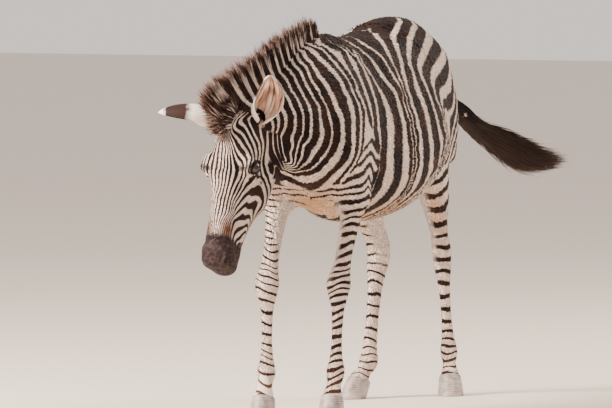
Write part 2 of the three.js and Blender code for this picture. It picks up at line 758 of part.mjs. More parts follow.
function ear(shape) {
  const lengthwise = shape.tip.clone().normalize();
  const outward = shape.opening.clone().addScaledVector(lengthwise, -shape.opening.dot(lengthwise)).normalize();
  const across = lengthwise.clone().cross(outward);
  const rings = [];
  for (let r = 0; r <= EAR_RINGS; r += 1) {
    const share = r / EAR_RINGS;
    const half = earHalf(share);
    const filled = 1 - THREE.MathUtils.smoothstep(share, 0.1, 0.3);
    const wall = THREE.MathUtils.lerp(Math.min(EAR_WALL, half * 0.5), half * 0.92, filled);
    const open = THREE.MathUtils.smoothstep(share, 0.12, 0.45);
    const sweep = THREE.MathUtils.lerp(Math.PI * 0.92, Math.PI * 0.56, open);
    const middle = shape.base.clone().addScaledVector(lengthwise, share * EAR_LENGTH);
    middle.addScaledVector(across, shape.bow * Math.sin(Math.PI * share));
    const ring = [];
    const corner = (angle, size) => {
      const point = middle.clone().addScaledVector(across, size * Math.sin(angle));
      ring.push(point.addScaledVector(outward, -size * Math.cos(angle) * 0.8));
    };
    for (let i = 0; i <= EAR_SIDES; i += 1) corner(-sweep + (2 * sweep * i) / EAR_SIDES, half);
    for (let i = EAR_SIDES; i >= 0; i -= 1) corner(-sweep + (2 * sweep * i) / EAR_SIDES, half - wall);
    rings.push(ring);
  }
  return solidOf(stacked(rings.reverse()));
}

// ---- Mane ----
// Stiff hair that stands on the crest in a thin row of locks, longest half way down the neck. It
// leans forward more and more, and ends as the forelock between the ears.
const CREST = new THREE.CatmullRomCurve3([
  at(-14, 226, 1216),
  at(-28, 150, 1186),
  at(-50, 66, 1148),
  at(-76, -18, 1110),
  at(-108, -104, 1070),
  at(-136, -186, 1040),
  at(-150, -246, 1012),
  onHead(58, 0, 14),
]);
const MANE_LOCKS = 11;
const ROOT_DEPTH = 16; // how far the crest line lies under the skin
const LEAN_AT_WITHERS = at(-0.06, -0.22, 0.96);
const LEAN_AT_FORELOCK = at(-0.34, -0.8, 0.5);
const ROOT_HALF = 22;
const TIP_HALF = 8;

function maneHair(share, isTip) {
  const lean = LEAN_AT_WITHERS.clone().lerp(LEAN_AT_FORELOCK, share ** 1.6).normalize();
  const swell = 0.56 + 0.46 * Math.sin(Math.PI * share ** 0.75) ** 0.8 + 0.1 * share;
  const full = MANE_LENGTH * swell + ROOT_DEPTH;
  return { lean, length: isTip ? full : full * 0.88 };
}

// A wedge of hair from a wide root to a thin edge, its tips cut in locks.
function maneBlade() {
  const count = MANE_LOCKS * 2;
  const rings = [];
  for (let i = 0; i <= count; i += 1) {
    const share = i / count;
    const root = CREST.getPoint(share);
    const along = CREST.getTangent(share);
    const { lean, length } = maneHair(share, i % 2 === 1);
    const aside = along.clone().cross(lean).normalize();
    const tip = root.clone().addScaledVector(lean, length);
    const thin = Math.sin(Math.PI * THREE.MathUtils.clamp(share, 0.06, 0.94)) ** 0.4;
    const ring = [];
    const corner = (place, half) => ring.push(place.clone().addScaledVector(aside, half * thin));
    corner(root, -ROOT_HALF);
    corner(root, ROOT_HALF);
    corner(tip, TIP_HALF);
    corner(tip, -TIP_HALF);
    rings.push(ring);
  }
  return solidOf(stacked(rings.reverse()));
}

// ---- Tail ----
const tuftStart = { place: at(128, 1372, 914), direction: at(0.7, 0.4, -0.55) };
flesh.tail_dock = skinWithin(at(-60, 1150, 820), at(260, 1460, 1150), at(21, 22, 21))
  .intersect(dockSpace(0))
  .intersect(beyond(tuftStart.place, tuftStart.direction.clone().negate()));

const TUFT = {
  line: new THREE.CatmullRomCurve3([at(128, 1372, 910), at(215, 1412, 850), at(312, 1466, 796), at(424, 1545, 792)]),
  rings: 9,
  sides: 10,
};

// Half the tuft's height at a share of its length: it swells past the dock and breaks up in points.
function tuftHalf(share) {
  return 17 + 70 * Math.sin(Math.PI * share * 0.76) ** 1.5;
}

function tailTuft() {
  const rings = [];
  for (let r = 0; r <= TUFT.rings; r += 1) {
    const share = r / TUFT.rings;
    const along = TUFT.line.getTangent(share);
    const across = along.clone().cross(UP).normalize();
    const upward = across.clone().cross(along).normalize();
    const half = tuftHalf(share);
    const ring = [];
    for (let i = 0; i < TUFT.sides; i += 1) {
      const angle = (2 * Math.PI * i) / TUFT.sides;
      const ragged = r === TUFT.rings && i % 2 === 0 ? 0.82 : 1;
      const point = TUFT.line.getPoint(share * ragged);
      const closing = r === TUFT.rings ? 0.55 : 1;
      point.addScaledVector(upward, half * closing * Math.sin(angle));
      point.addScaledVector(across, half * closing * 0.42 * Math.cos(angle));
      ring.push(point);
    }
    rings.push(ring);
  }
  return solidOf(stacked(rings.reverse()));
}

// ---- Naming and colouring the pieces ----
const coat = { color: 0xcdbfb4, roughness: 0.8, metalness: 0 };
const look = (changes) => new THREE.MeshStandardMaterial({ ...coat, ...changes });
const striped = look({});
const darkHair = look({ color: 0x3a2a24, roughness: 0.7 });
const bareSkin = look({ color: 0x3b2e30, roughness: 0.55 });
const horn = look({ color: 0x9a8f8a, roughness: 0.5 });
const wetEye = look({ color: 0x120c0a, roughness: 0.08 });

const animal = new THREE.Group();

function addPiece(name, solid, material) {
  const mesh = new THREE.Mesh(geometryOf(solid), material);
  mesh.name = name;
  animal.add(mesh);
}

// Takes the skin under a piece out of it, with the skin moved off by a little more than the gap.
function seated(solid, offSkin, skins) {
  const lift = offSkin.clone().normalize().multiplyScalar(GAP * 1.4).toArray();
  return skins.reduce((rest, skin) => rest.subtract(skin.translate(lift)), solid);
}

for (const [name, solid] of Object.entries(flesh)) addPiece(name, solid, name === 'muzzle' ? bareSkin : striped);
for (const [name, leg] of Object.entries(legs)) addPiece(`${name}_hoof`, hoof(leg), horn);
addPiece('eye_left', eyeball(1, EYE_RADIUS), wetEye);
addPiece('eye_right', eyeball(-1, EYE_RADIUS), wetEye);
for (const [name, shape] of Object.entries(ears)) {
  addPiece(name, seated(ear(shape), shape.offSkin, [headSkin, neckSkin]), striped);
}
addPiece('mane', seated(maneBlade(), UP, [trunkSkin, neckSkin, headSkin]), darkHair);
const tuft = tailTuft().intersect(beyond(tuftStart.place, tuftStart.direction));
addPiece('tail_tuft', tuft, darkHair);

// The origin is on the floor, under the middle of the animal.
const extent = new THREE.Box3().setFromObject(animal);
const middle = extent.getCenter(at(0, 0, 0));
animal.position.set(-middle.x, -middle.y, -extent.min.z);

export default animal;
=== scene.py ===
# A young plains zebra, life size, as a museum would show it: striped hide and coat, eyes, ears,
# hooves, mane and tail, on a pale floor.
import math

import bpy
import numpy as np
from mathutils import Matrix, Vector


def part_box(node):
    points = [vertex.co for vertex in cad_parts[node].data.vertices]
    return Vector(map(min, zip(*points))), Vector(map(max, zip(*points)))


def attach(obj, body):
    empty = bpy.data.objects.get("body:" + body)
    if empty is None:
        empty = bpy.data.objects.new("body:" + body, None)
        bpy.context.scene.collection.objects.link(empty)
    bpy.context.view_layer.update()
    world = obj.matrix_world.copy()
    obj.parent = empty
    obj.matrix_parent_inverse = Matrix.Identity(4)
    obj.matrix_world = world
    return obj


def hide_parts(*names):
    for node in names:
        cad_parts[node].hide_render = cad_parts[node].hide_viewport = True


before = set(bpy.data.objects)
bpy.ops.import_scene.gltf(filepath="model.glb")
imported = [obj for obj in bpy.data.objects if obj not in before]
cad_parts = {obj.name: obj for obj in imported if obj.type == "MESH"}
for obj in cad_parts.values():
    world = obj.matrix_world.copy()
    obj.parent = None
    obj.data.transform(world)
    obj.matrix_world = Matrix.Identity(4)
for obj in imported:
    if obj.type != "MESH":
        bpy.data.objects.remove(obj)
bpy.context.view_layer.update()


# ---- The animal's form ----
# A young plains zebra, walking, its head low and turned a little to its right.
# The body is laid out in millimetres, the animal facing -Y with its left at +X, as
# rounded forms that flow into each other: trunk, neck, skull, shoulders, haunches, legs, dock.
UP = np.array([0.0, 0.0, 1.0])
AHEAD = np.array([0.0, -1.0, 0.0])


def unit(v):
    v = np.asarray(v, float)
    return v / np.maximum(np.linalg.norm(v, axis=-1, keepdims=True), 1e-9)


POLL = np.array([-150.0, -250.0, 1036.0])
HEAD_TURN = math.radians(8.5)
HEAD_HANG = math.radians(78)
HEADING = np.array([-math.sin(HEAD_TURN), -math.cos(HEAD_TURN), 0.0])
DOWN_FACE = HEADING * math.cos(HEAD_HANG) - UP * math.sin(HEAD_HANG)
OUT_OF_FACE = HEADING * math.sin(HEAD_HANG) + UP * math.cos(HEAD_HANG)
HEAD_LEFT = np.array([math.cos(HEAD_TURN), -math.sin(HEAD_TURN), 0.0])
EYE_DOWN, EYE_SIDE, EYE_BACK, EYE_RADIUS = 194, 84, 60, 21


def on_head(down, left, back):
    """A place on the head: down the face from the poll, to the left, back from the face line."""
    return POLL + DOWN_FACE * down + HEAD_LEFT * left - OUT_OF_FACE * back


def head_parts(p):
    """How far points lie down the face, to the left, and back from the face line."""
    q = p - POLL
    return q @ DOWN_FACE, q @ HEAD_LEFT, -(q @ OUT_OF_FACE)


# back, belly, half width, height of the widest place, rounding, at each place along the trunk
TRUNK = [
    (-10, 1040, 760, 112, 900, 2.0),
    (80, 1150, 700, 150, 915, 1.9),
    (170, 1215, 665, 172, 925, 1.75),
    (285, 1250, 640, 190, 925, 1.7),
    (400, 1246, 625, 222, 905, 1.9),
    (550, 1252, 618, 254, 900, 2.0),
    (700, 1274, 634, 260, 915, 2.05),
    (840, 1300, 692, 226, 975, 2.1),
    (950, 1304, 760, 188, 1000, 2.1),
    (1060, 1270, 810, 146, 1010, 2.0),
    (1150, 1190, 855, 96, 1020, 2.0),
]
NECK = [
    ((4, 250, 985), 138, 236, 240, 1.8),
    ((-22, 120, 972), 120, 226, 200, 1.8),
    ((-64, 0, 962), 96, 178, 160, 1.85),
    ((-104, -100, 955), 80, 132, 122, 1.9),
    ((-136, -184, 952), 70, 106, 98, 2.0),
]
# down the face, front of the face line, jaw behind it, half width, rounding
SKULL = [
    (30, 8, 118, 57, 2.2),
    (95, 16, 190, 74, 2.3),
    (165, 17, 232, 82, 2.3),
    (230, 15, 240, 79, 2.2),
    (300, 13, 214, 69, 2.2),
    (370, 12, 170, 58, 2.2),
    (430, 13, 136, 54, 2.3),
    (485, 14, 120, 56, 2.3),
    (522, 6, 108, 52, 2.3),
]
# bone, place along it, half width, depth to the front and to the heel
FORE_LEG = [
    (0, 0, 44, 56, 58), (0, 0.3, 34, 46, 44), (0, 0.65, 29, 35, 33), (0, 0.86, 35, 38, 33),
    (1, 0, 42, 43, 38), (1, 0.14, 33, 33, 36), (1, 0.3, 22, 22, 30), (1, 0.6, 18, 20, 27),
    (1, 0.84, 22, 22, 30), (2, 0, 31, 29, 37), (2, 0.5, 24, 24, 30),
    (3, 0, 34, 36, 38), (3, 1, 38, 40, 38),
]
HIND_LEG = [
    (0, 0, 64, 126, 186), (0, 0.34, 54, 88, 106), (0, 0.66, 37, 52, 56), (0, 0.86, 31, 39, 55),
    (1, 0, 35, 38, 56), (1, 0.16, 31, 34, 44), (1, 0.34, 22, 25, 33), (1, 0.62, 18, 22, 30),
    (1, 0.86, 22, 24, 32), (2, 0, 30, 30, 38), (2, 0.5, 23, 24, 30),
    (3, 0, 33, 36, 38), (3, 1, 38, 40, 38),
]
# side, toe's turn outward, profile, joints from elbow or stifle to the sole
LEGS = {
    "foreleg_left": (1, 6, FORE_LEG,
        [(128, 186, 716), (106, 98, 436), (100, 84, 146), (104, 44, 64), (107, 24, 0)]),
    "foreleg_right": (-1, -8, FORE_LEG,
        [(-126, 150, 712), (-103, -20, 440), (-101, -32, 150), (-95, -72, 64), (-92, -92, 0)]),
    "hindleg_left": (1, 25, HIND_LEG,
        [(114, 962, 800), (104, 1112, 500), (110, 1172, 148), (126, 1138, 64), (136, 1117, 0)]),
    "hindleg_right": (-1, 25, HIND_LEG,
        [(-122, 906, 800), (-104, 1044, 494), (-91, 916, 124), (-108, 878, 64), (-117, 858, 0)]),
}
DOCK = [
    ((0, 1140, 1120), 36, 34, 36), ((8, 1218, 1072), 27, 24, 26), ((38, 1285, 1020), 20, 18, 19),
    ((88, 1340, 960), 17, 16, 16), ((150, 1388, 896), 15, 15, 15), ((205, 1420, 862), 11, 12, 12),
]
STEPS = 5  # samples of a form between two stations
FAR = 160  # past this a form can't move the surface


def smooth_place(line, place):
    """A place on a centripetal curve through points, counted in points from its start."""
    line = np.asarray(line, float)
    i = min(int(place), len(line) - 2)
    f = place - i
    p1, p2 = line[i], line[i + 1]
    p0 = line[i - 1] if i else 2 * line[0] - line[1]
    p3 = line[i + 2] if i + 2 < len(line) else 2 * line[-1] - line[-2]
    pairs = ((p0, p1), (p1, p2), (p2, p3))
    d0, d1, d2 = (math.sqrt(max(np.linalg.norm(b - a), 1e-6)) for a, b in pairs)
    t1 = ((p1 - p0) / d0 - (p2 - p0) / (d0 + d1) + (p2 - p1) / d1) * d1
    t2 = ((p2 - p1) / d1 - (p3 - p1) / (d1 + d2) + (p3 - p2) / d2) * d1
    return p1 + f * (t1 + f * (3 * (p2 - p1) - 2 * t1 - t2 + f * (2 * (p1 - p2) + t1 + t2)))


def smooth_size(sizes, place):
    """The same for sizes, on an evenly spaced curve."""
    sizes = np.asarray(sizes, float)
    i = min(int(place), len(sizes) - 2)
    f = place - i
    p0, p1, p2, p3 = sizes[max(i - 1, 0)], sizes[i], sizes[i + 1], sizes[min(i + 2, len(sizes) - 1)]
    return p1 + 0.5 * f * (p2 - p0 + f * (2 * p0 - 5 * p1 + 4 * p2 - p3 + f * (3 * (p1 - p2) + p3 - p0)))


def form(over, blend, caps, stations):
    """One form: samples of its line, its two cross directions and its sizes."""
    line = [s[0] for s in stations]
    sizes = [s[1:] for s in stations]
    last = len(line) - 1
    rows = []
    for i in range(last * STEPS + 1):
        place = i / STEPS
        ends = np.clip([place - 1e-4 * last, place + 1e-4 * last], 0, last)
        along = unit(smooth_place(line, ends[1]) - smooth_place(line, ends[0]))
        over_way = unit(over - along * (over @ along))
        side_way = np.cross(along, over_way)
        rows.append(np.concatenate([
            smooth_place(line, place), along, over_way, side_way, smooth_size(sizes, place)]))
    rows = np.array(rows)
    reach = rows[:, 12:15].max()
    return {"rows": rows, "blend": blend, "caps": caps,
            "low": rows[:, :3].min(0) - reach, "high": rows[:, :3].max(0) + reach}


def swelling(start, end, side, depth, over, blend):
    size = (side, depth, depth, 2.0)
    return form(over, blend, (depth * 0.8,) * 2, [(start, *size), (end, *size)])


def leg_ahead(left, toe_out):
    toe = math.radians(toe_out)
    return np.array([left * math.sin(toe), -math.cos(toe), 0.0])


def leg_form(left, toe_out, profile, joints):
    joints = np.array(joints, float)
    stations = [(joints[b] + (joints[b + 1] - joints[b]) * f, side, front, heel, 2.15)
                for b, f, side, front, heel in profile]
    return form(leg_ahead(left, toe_out), 32, (60, 30), stations)


FORMS = [
    form(UP, 0, (70, 50), [((0, y, wide), side, top - wide, wide - belly, rnd)
                           for y, top, belly, side, wide, rnd in TRUNK]),
    form(UP, 110, (60, 40), NECK),
]
for left, name in ((1, "foreleg_left"), (-1, "foreleg_right")):
    elbow = LEGS[name][3][0]
    FORMS.append(form(AHEAD, 70, (50, 40), [
        ((left * 66, 262, 1130), 46, 70, 80, 2.0),
        ((left * 112, 165, 1010), 62, 95, 100, 2.0),
        ((left * 128, 90, 900), 60, 92, 105, 2.0),
        ((left * 128, elbow[1] - 45, 800), 58, 82, 96, 2.0),
        (elbow, 50, 62, 74, 2.0)]))
for left, name in ((1, "hindleg_left"), (-1, "hindleg_right")):
    stifle = LEGS[name][3][0]
    FORMS.append(form(AHEAD, 90, (60, 50), [
        ((left * 78, 985, 1130), 70, 120, 120, 2.0),
        ((left * 104, (1000 + stifle[1]) / 2 + 10, 960), 76, 140, 180, 2.0),
        ((stifle[0], stifle[1] + 10, stifle[2] + 40), 66, 130, 190, 2.0)]))
FORMS.append(swelling(on_head(70, 0, 120), on_head(120, 0, 200), 56, 60, OUT_OF_FACE, 60))
FORMS.append(form(OUT_OF_FACE, 34, (34, 22), [
    (on_head(down, 0, (jaw - front) / 2), side, (jaw + front) / 2, (jaw + front) / 2, rnd)
    for down, front, jaw, side, rnd in SKULL]))
for left in (1, -1):
    FORMS += [
        swelling(on_head(205, left * 52, 176), on_head(280, left * 40, 160), 36, 56, OUT_OF_FACE, 40),
        swelling(on_head(166, left * 72, 30), on_head(206, left * 84, 30), 20, 18, OUT_OF_FACE, 24),
        swelling(on_head(EYE_DOWN - 14, left * (EYE_SIDE - 19), EYE_BACK),
                 on_head(EYE_DOWN + 14, left * (EYE_SIDE - 19), EYE_BACK), 31, 31, OUT_OF_FACE, 20),
        swelling(on_head(476, left * 32, 20), on_head(506, left * 36, 30), 22, 22, OUT_OF_FACE, 18),
    ]
FORMS.append(swelling(on_head(515, 0, 84), on_head(532, 0, 78), 34, 26, OUT_OF_FACE, 20))
FORMS += [leg_form(*leg) for leg in LEGS.values()]
FORMS.append(form(UP, 36, (20, 16), [(*s, 2.0) for s in DOCK]))


def form_distance(shape, p):
    """How far points are from one form's rounded section, at the nearest place of its line."""
    rows = shape["rows"]
    a, step = rows[:-1, :3], rows[1:, :3] - rows[:-1, :3]
    long2 = (step**2).sum(1)
    f = np.clip((p @ step.T - (a * step).sum(1)) / long2, 0, 1)
    away = np.zeros_like(f)
    for axis in range(3):
        away += (p[:, axis, None] - a[:, axis] - f * step[:, axis]) ** 2
    i = away.argmin(1)
    f = f[np.arange(len(p)), i][:, None]
    here = rows[i] * (1 - f) + rows[i + 1] * f
    off = p - here[:, :3]
    along, over, side = ((off * here[:, n:n + 3]).sum(1) for n in (3, 6, 9))
    start = (i == 0) & (f[:, 0] < 0.5)
    half = np.stack([here[:, 12], np.where(over > 0, here[:, 13], here[:, 14]),
                     np.where(start, shape["caps"][0], shape["caps"][1])], 1)
    ratios = np.abs(np.stack([side, over, along], 1)) / half
    rnd = here[:, 15:16]
    scaled = np.maximum((ratios**rnd).sum(1, keepdims=True), 1e-12) ** (1 / rnd)
    slope = np.linalg.norm((ratios / scaled) ** (rnd - 1) / half, axis=1)
    deep = scaled[:, 0] < 0.02
    return np.where(deep, -half[:, :2].min(1), (scaled[:, 0] - 1) / slope)


def body_distance(p, chunk=40000):
    """How far points are from the whole body, its forms flowing into each other."""
    out = np.empty(len(p))
    for start in range(0, len(p), chunk):
        q = p[start:start + chunk]
        total = np.full(len(q), np.inf)
        for shape in FORMS:
            gap = np.maximum(np.maximum(shape["low"] - q, q - shape["high"]), 0)
            near = np.sqrt((gap**2).sum(1))
            close = near <= FAR
            if close.any():
                near[close] = form_distance(shape, q[close])
            with np.errstate(invalid="ignore"):
                flow = np.maximum(shape["blend"] - np.abs(total - near), 0) / max(shape["blend"], 1)
            total = np.minimum(total, near) - flow**2 * shape["blend"] / 4
        out[start:start + chunk] = total
    return out


def body_slope(p, here):
    return np.stack([body_distance(p + np.eye(3)[axis]) - here for axis in range(3)], 1)


# ---- The hide's mesh ----
# One closed hide over all the forms, a few millimetres under their surface where the coat is
# thick and less on the face and feet. It is finest round the eyes, the nostrils and the lips.
COAT_DEPTH = 4.5  # mm, on the trunk and neck
FACE_DEPTH, MUZZLE_DEPTH, LEG_DEPTH = 1.7, 1.4, 2.2  # mm less than that on the face, muzzle, legs
HEAD_REAR, HEAD_HALF = -60, 130  # the head's places have y under this and lie this far to a side
GRID = 11.0  # mm, the first mesh's cell
FLOOR_CUT = 22.0  # mm, the hide ends inside the hooves at this height


def coat_depth(p):
    down, left, back = head_parts(p)
    on_face = np.where((p[:, 1] < HEAD_REAR) & (np.abs(left) < HEAD_HALF), smooth(20, 160, down), 0)
    muzzle = on_face * smooth(380, 430, down)
    low = smooth(520, 380, p[:, 2]) * (1 - on_face)
    return COAT_DEPTH - FACE_DEPTH * on_face - MUZZLE_DEPTH * muzzle - LEG_DEPTH * low


def smooth(start, end, x):
    f = np.clip((np.asarray(x, float) - start) / (end - start), 0, 1)
    return f * f * (3 - 2 * f)


def settle(p, turns):
    """Moves points straight on to the hide's surface."""
    for _ in range(turns):
        here = body_distance(p)
        slope = body_slope(p, here)
        move = slope * (-(here + coat_depth(p)) / np.maximum((slope**2).sum(1), 0.2))[:, None]
        floor_gap = FLOOR_CUT - p[:, 2]
        capped = floor_gap > here + coat_depth(p)
        move[capped] = floor_gap[capped, None] * UP
        long = np.linalg.norm(move, axis=1, keepdims=True)
        p = p + move * np.minimum(1, 9 / np.maximum(long, 1e-9))
    return p


def near_grid(low, counts, cell):
    """Distances on a grid: exact near the surface, carried over from a coarse grid elsewhere."""
    skip = 4
    rough = [(n - 1) // skip + 2 for n in counts]
    axes = [low[a] + cell * skip * np.arange(rough[a]) for a in range(3)]
    value = body_distance(np.stack(np.meshgrid(*axes, indexing="ij"), -1).reshape(-1, 3)).reshape(rough)
    for axis in range(3):
        place = np.arange(counts[axis]) / skip
        i = np.minimum(place.astype(int), rough[axis] - 2)
        f = (place - i).reshape([-1 if a == axis else 1 for a in range(3)])
        value = np.take(value, i, axis) * (1 - f) + np.take(value, i + 1, axis) * f
    close = np.argwhere(np.abs(value) < cell * skip)
    value[tuple(close.T)] = body_distance(low + close * cell)
    return value


def netted(low, cell, value):
    """One corner in each cell that the surface crosses, joined across the edges that it crosses."""
    inside = value < 0
    shape = np.array(value.shape)
    cells = tuple(shape - 1)
    total, crossings = np.zeros((*cells, 3)), np.zeros(cells)
    window = lambda grid, c: grid[tuple(slice(o, o + n) for o, n in zip(c, cells))]
    corners = [(i, j, k) for i in (0, 1) for j in (0, 1) for k in (0, 1)]
    for c in corners:
        for axis in range(3):
            if c[axis]:
                continue
            other = tuple(o + (a == axis) for a, o in enumerate(c))
            va, vb = window(value, c), window(value, other)
            crossed = window(inside, c) != window(inside, other)
            f = np.where(crossed, va / np.where(crossed, va - vb, 1), 0)
            for a in range(3):
                total[..., a] += np.where(crossed, c[a] + (f if a == axis else 0), 0)
            crossings += crossed
    active = crossings > 0
    number = np.full(cells, -1)
    number[active] = np.arange(active.sum())
    points = low + cell * (np.argwhere(active) + total[active] / crossings[active][:, None])
    faces = []
    for axis in range(3):
        u, v = (axis + 1) % 3, (axis + 2) % 3
        ahead = tuple(slice(1, None) if a == axis else slice(None) for a in range(3))
        behind = tuple(slice(None, -1) if a == axis else slice(None) for a in range(3))
        place = np.argwhere(inside[behind] != inside[ahead])
        ring = []
        for du, dv in ((0, 0), (1, 0), (1, 1), (0, 1)):
            c = place.copy()
            c[:, u] -= du
            c[:, v] -= dv
            ring.append(number[tuple(c.T)])
        ring = np.stack(ring, 1)
        turned = ~inside[tuple(place.T)]
        ring[turned] = ring[turned][:, ::-1]
        length = lambda a, b: np.linalg.norm(points[ring[:, a]] - points[ring[:, b]], axis=1)
        straight = length(0, 2) <= length(1, 3)
        faces += [ring[straight][:, [0, 1, 2]], ring[straight][:, [0, 2, 3]],
                  ring[~straight][:, [0, 1, 3]], ring[~straight][:, [1, 2, 3]]]
    return points, np.concatenate(faces)


def edges_of(faces):
    """Each edge once, and the three edges of every face."""
    pairs = np.sort(np.concatenate([faces[:, [0, 1]], faces[:, [1, 2]], faces[:, [2, 0]]]), 1)
    key = pairs[:, 0] * (faces.max() + 1) + pairs[:, 1]
    _, first, back = np.unique(key, return_index=True, return_inverse=True)
    return pairs[first], back.reshape(3, -1).T


def split(points, faces, longest):
    """Splits every edge that is longer than its place allows, with no gaps between the faces."""
    edges, of_face = edges_of(faces)
    middle = points[edges].mean(1)
    long = np.linalg.norm(points[edges[:, 0]] - points[edges[:, 1]], axis=1)
    marked = long > longest(middle)
    number = np.full(len(edges), -1)
    number[marked] = len(points) + np.arange(marked.sum())
    points = np.concatenate([points, settle(middle[marked], 2)])
    mids = number[of_face]
    count = (mids >= 0).sum(1)
    columns = lambda *rows: np.stack(rows, 1)
    made = [faces[count == 0]]
    one = count == 1
    turn = mids[one].argmax(1)
    rolled = lambda rows, by: rows[np.arange(len(rows))[:, None], (np.arange(3) + by[:, None]) % 3]
    f, m = rolled(faces[one], turn), rolled(mids[one], turn)
    made += [columns(f[:, 0], m[:, 0], f[:, 2]), columns(m[:, 0], f[:, 1], f[:, 2])]
    two = count == 2
    turn = (mids[two].argmin(1) + 1) % 3
    f, m = rolled(faces[two], turn), rolled(mids[two], turn)
    made.append(columns(m[:, 0], f[:, 1], m[:, 1]))
    across = (np.linalg.norm(points[f[:, 0]] - points[m[:, 1]], axis=1)
              <= np.linalg.norm(points[m[:, 0]] - points[f[:, 2]], axis=1))[:, None]
    made += [np.where(across, columns(f[:, 0], m[:, 0], m[:, 1]), columns(f[:, 0], m[:, 0], f[:, 2])),
             np.where(across, columns(f[:, 0], m[:, 1], f[:, 2]), columns(m[:, 0], m[:, 1], f[:, 2]))]
    f, m = faces[count == 3], mids[count == 3]
    made += [columns(f[:, 0], m[:, 0], m[:, 2]), columns(m[:, 0], f[:, 1], m[:, 1]),
             columns(m[:, 2], m[:, 1], f[:, 2]), m]
    return points, np.concatenate(made)


def eased(points, faces, turns, share=0.5):
    """Draws each corner toward the middle of its neighbours, along the surface only."""
    edges, _ = edges_of(faces)
    ends = np.concatenate([edges, edges[:, ::-1]])
    count = np.bincount(ends[:, 0], minlength=len(points))[:, None]
    for _ in range(turns):
        normal = normals(points, faces)
        around = np.stack([np.bincount(ends[:, 0], points[ends[:, 1], a], len(points))
                           for a in range(3)], 1)
        move = around / np.maximum(count, 1) - points
        points = points + share * (move - normal * (move * normal).sum(1, keepdims=True))
    return points


def normals(points, faces):
    a, b, c = (points[faces[:, n]] for n in range(3))
    face = np.cross(b - a, c - a)
    total = np.zeros_like(points)
    for n in range(3):
        for axis in range(3):
            total[:, axis] += np.bincount(faces[:, n], face[:, axis], len(points))
    return unit(total)


def finest(p):
    """The longest edge that a place of the hide allows."""
    down, left, back = head_parts(p)
    limit = np.full(len(p), 17.0)
    limit = np.where((p[:, 2] < 480) & (p[:, 1] > -150), 14.0, limit)
    of_head = (p[:, 1] < -90) & (down > 0) & (np.abs(left) < HEAD_HALF)
    limit = np.where(of_head, 9.5, limit)
    for side in (1, -1):
        eye = np.linalg.norm(p - on_head(EYE_DOWN, side * EYE_SIDE, EYE_BACK), axis=1)
        limit = np.where(eye < 62, 5.5, limit)
        limit = np.where(eye < 38, 3.6, limit)
        nostril = np.linalg.norm(p - on_head(492, side * 36, 22), axis=1)
        limit = np.where(nostril < 42, 3.6, limit)
    lips = of_head & (down > 405)
    limit = np.where(lips, np.minimum(limit, 5.2), limit)
    return limit


low = np.array([-300.0, -470.0, -30.0])
room = np.array([600.0, 1930.0, 1370.0])
counts = [int(v // GRID) + 2 for v in room]
level = (low[2] + GRID * np.arange(counts[2]))[None, None]
value = np.maximum(near_grid(low, counts, GRID) + 3.0, FLOOR_CUT - level)
skin, skin_faces = netted(low, GRID, value)
skin = settle(skin, 3)
skin = settle(eased(skin, skin_faces, 2), 1)
for _ in range(4):
    skin, skin_faces = split(skin, skin_faces, finest)
skin = settle(eased(skin, skin_faces, 4), 2)


def gauss(x, spread):
    return np.exp(-(np.asarray(x, float) / spread) ** 2)


def near_line(p, line):
    """Distance to a drawn line, and the share of its length at the nearest place."""
    line = np.array(line, float)
    best, share = np.full(len(p), np.inf), np.zeros(len(p))
    reach = np.concatenate([[0], np.cumsum(np.linalg.norm(np.diff(line, axis=0), axis=1))])
    for i in range(len(line) - 1):
        step = line[i + 1] - line[i]
        f = np.clip((p - line[i]) @ step / (step @ step), 0, 1)
        away = np.linalg.norm(p - line[i] - f[:, None] * step, axis=1)
        closer = away < best
        best = np.where(closer, away, best)
        share = np.where(closer, (reach[i] + f * (reach[i + 1] - reach[i])) / reach[-1], share)
    return best, share


def eye_directions(side):
    """Out of the eye, along its slit toward the nose, and up across the slit."""
    outward = unit(side * HEAD_LEFT * 0.92 + OUT_OF_FACE * 0.35 - 0.1 * DOWN_FACE)
    along = math.cos(math.radians(40)) * DOWN_FACE + math.sin(math.radians(40)) * OUT_OF_FACE
    along = unit(along - outward * (along @ outward))
    upward = np.cross(outward, along) * side
    return outward, along, upward


# lines on one side of the face: down it, to the side and back from the face line
FACIAL_CREST = [(232, 80, 78), (290, 70, 74), (350, 58, 64)]
CREST_HOLLOW = [(270, 60, 36), (360, 46, 34)]
BROW_HOLLOW = (150, 66, 52)
BROW_ARCH = [(150, 74, 78), (196, 86, 92), (226, 84, 84)]
CHEEK_EDGE = [(110, 66, 150), (180, 72, 206), (270, 58, 214)]
JAW_GROOVE = [(250, 66, 118), (310, 56, 150), (345, 44, 176)]
NOSTRIL = [(478, 30, 16), (488, 36, 14), (502, 37, 14), (514, 31, 12)]
NOSTRIL_SHIFT = 8  # the muzzle's middle lies this far to the left
LIP_LINE = [(452, 50, 70), (490, 50, 66), (520, 38, 52), (536, 12, 44), (538, 0, 43)]


def near_face_line(p, side, places, shift=0):
    """The same for a line on one side of the face."""
    return near_line(p, [on_head(down, side * left + shift, back) for down, left, back in places])


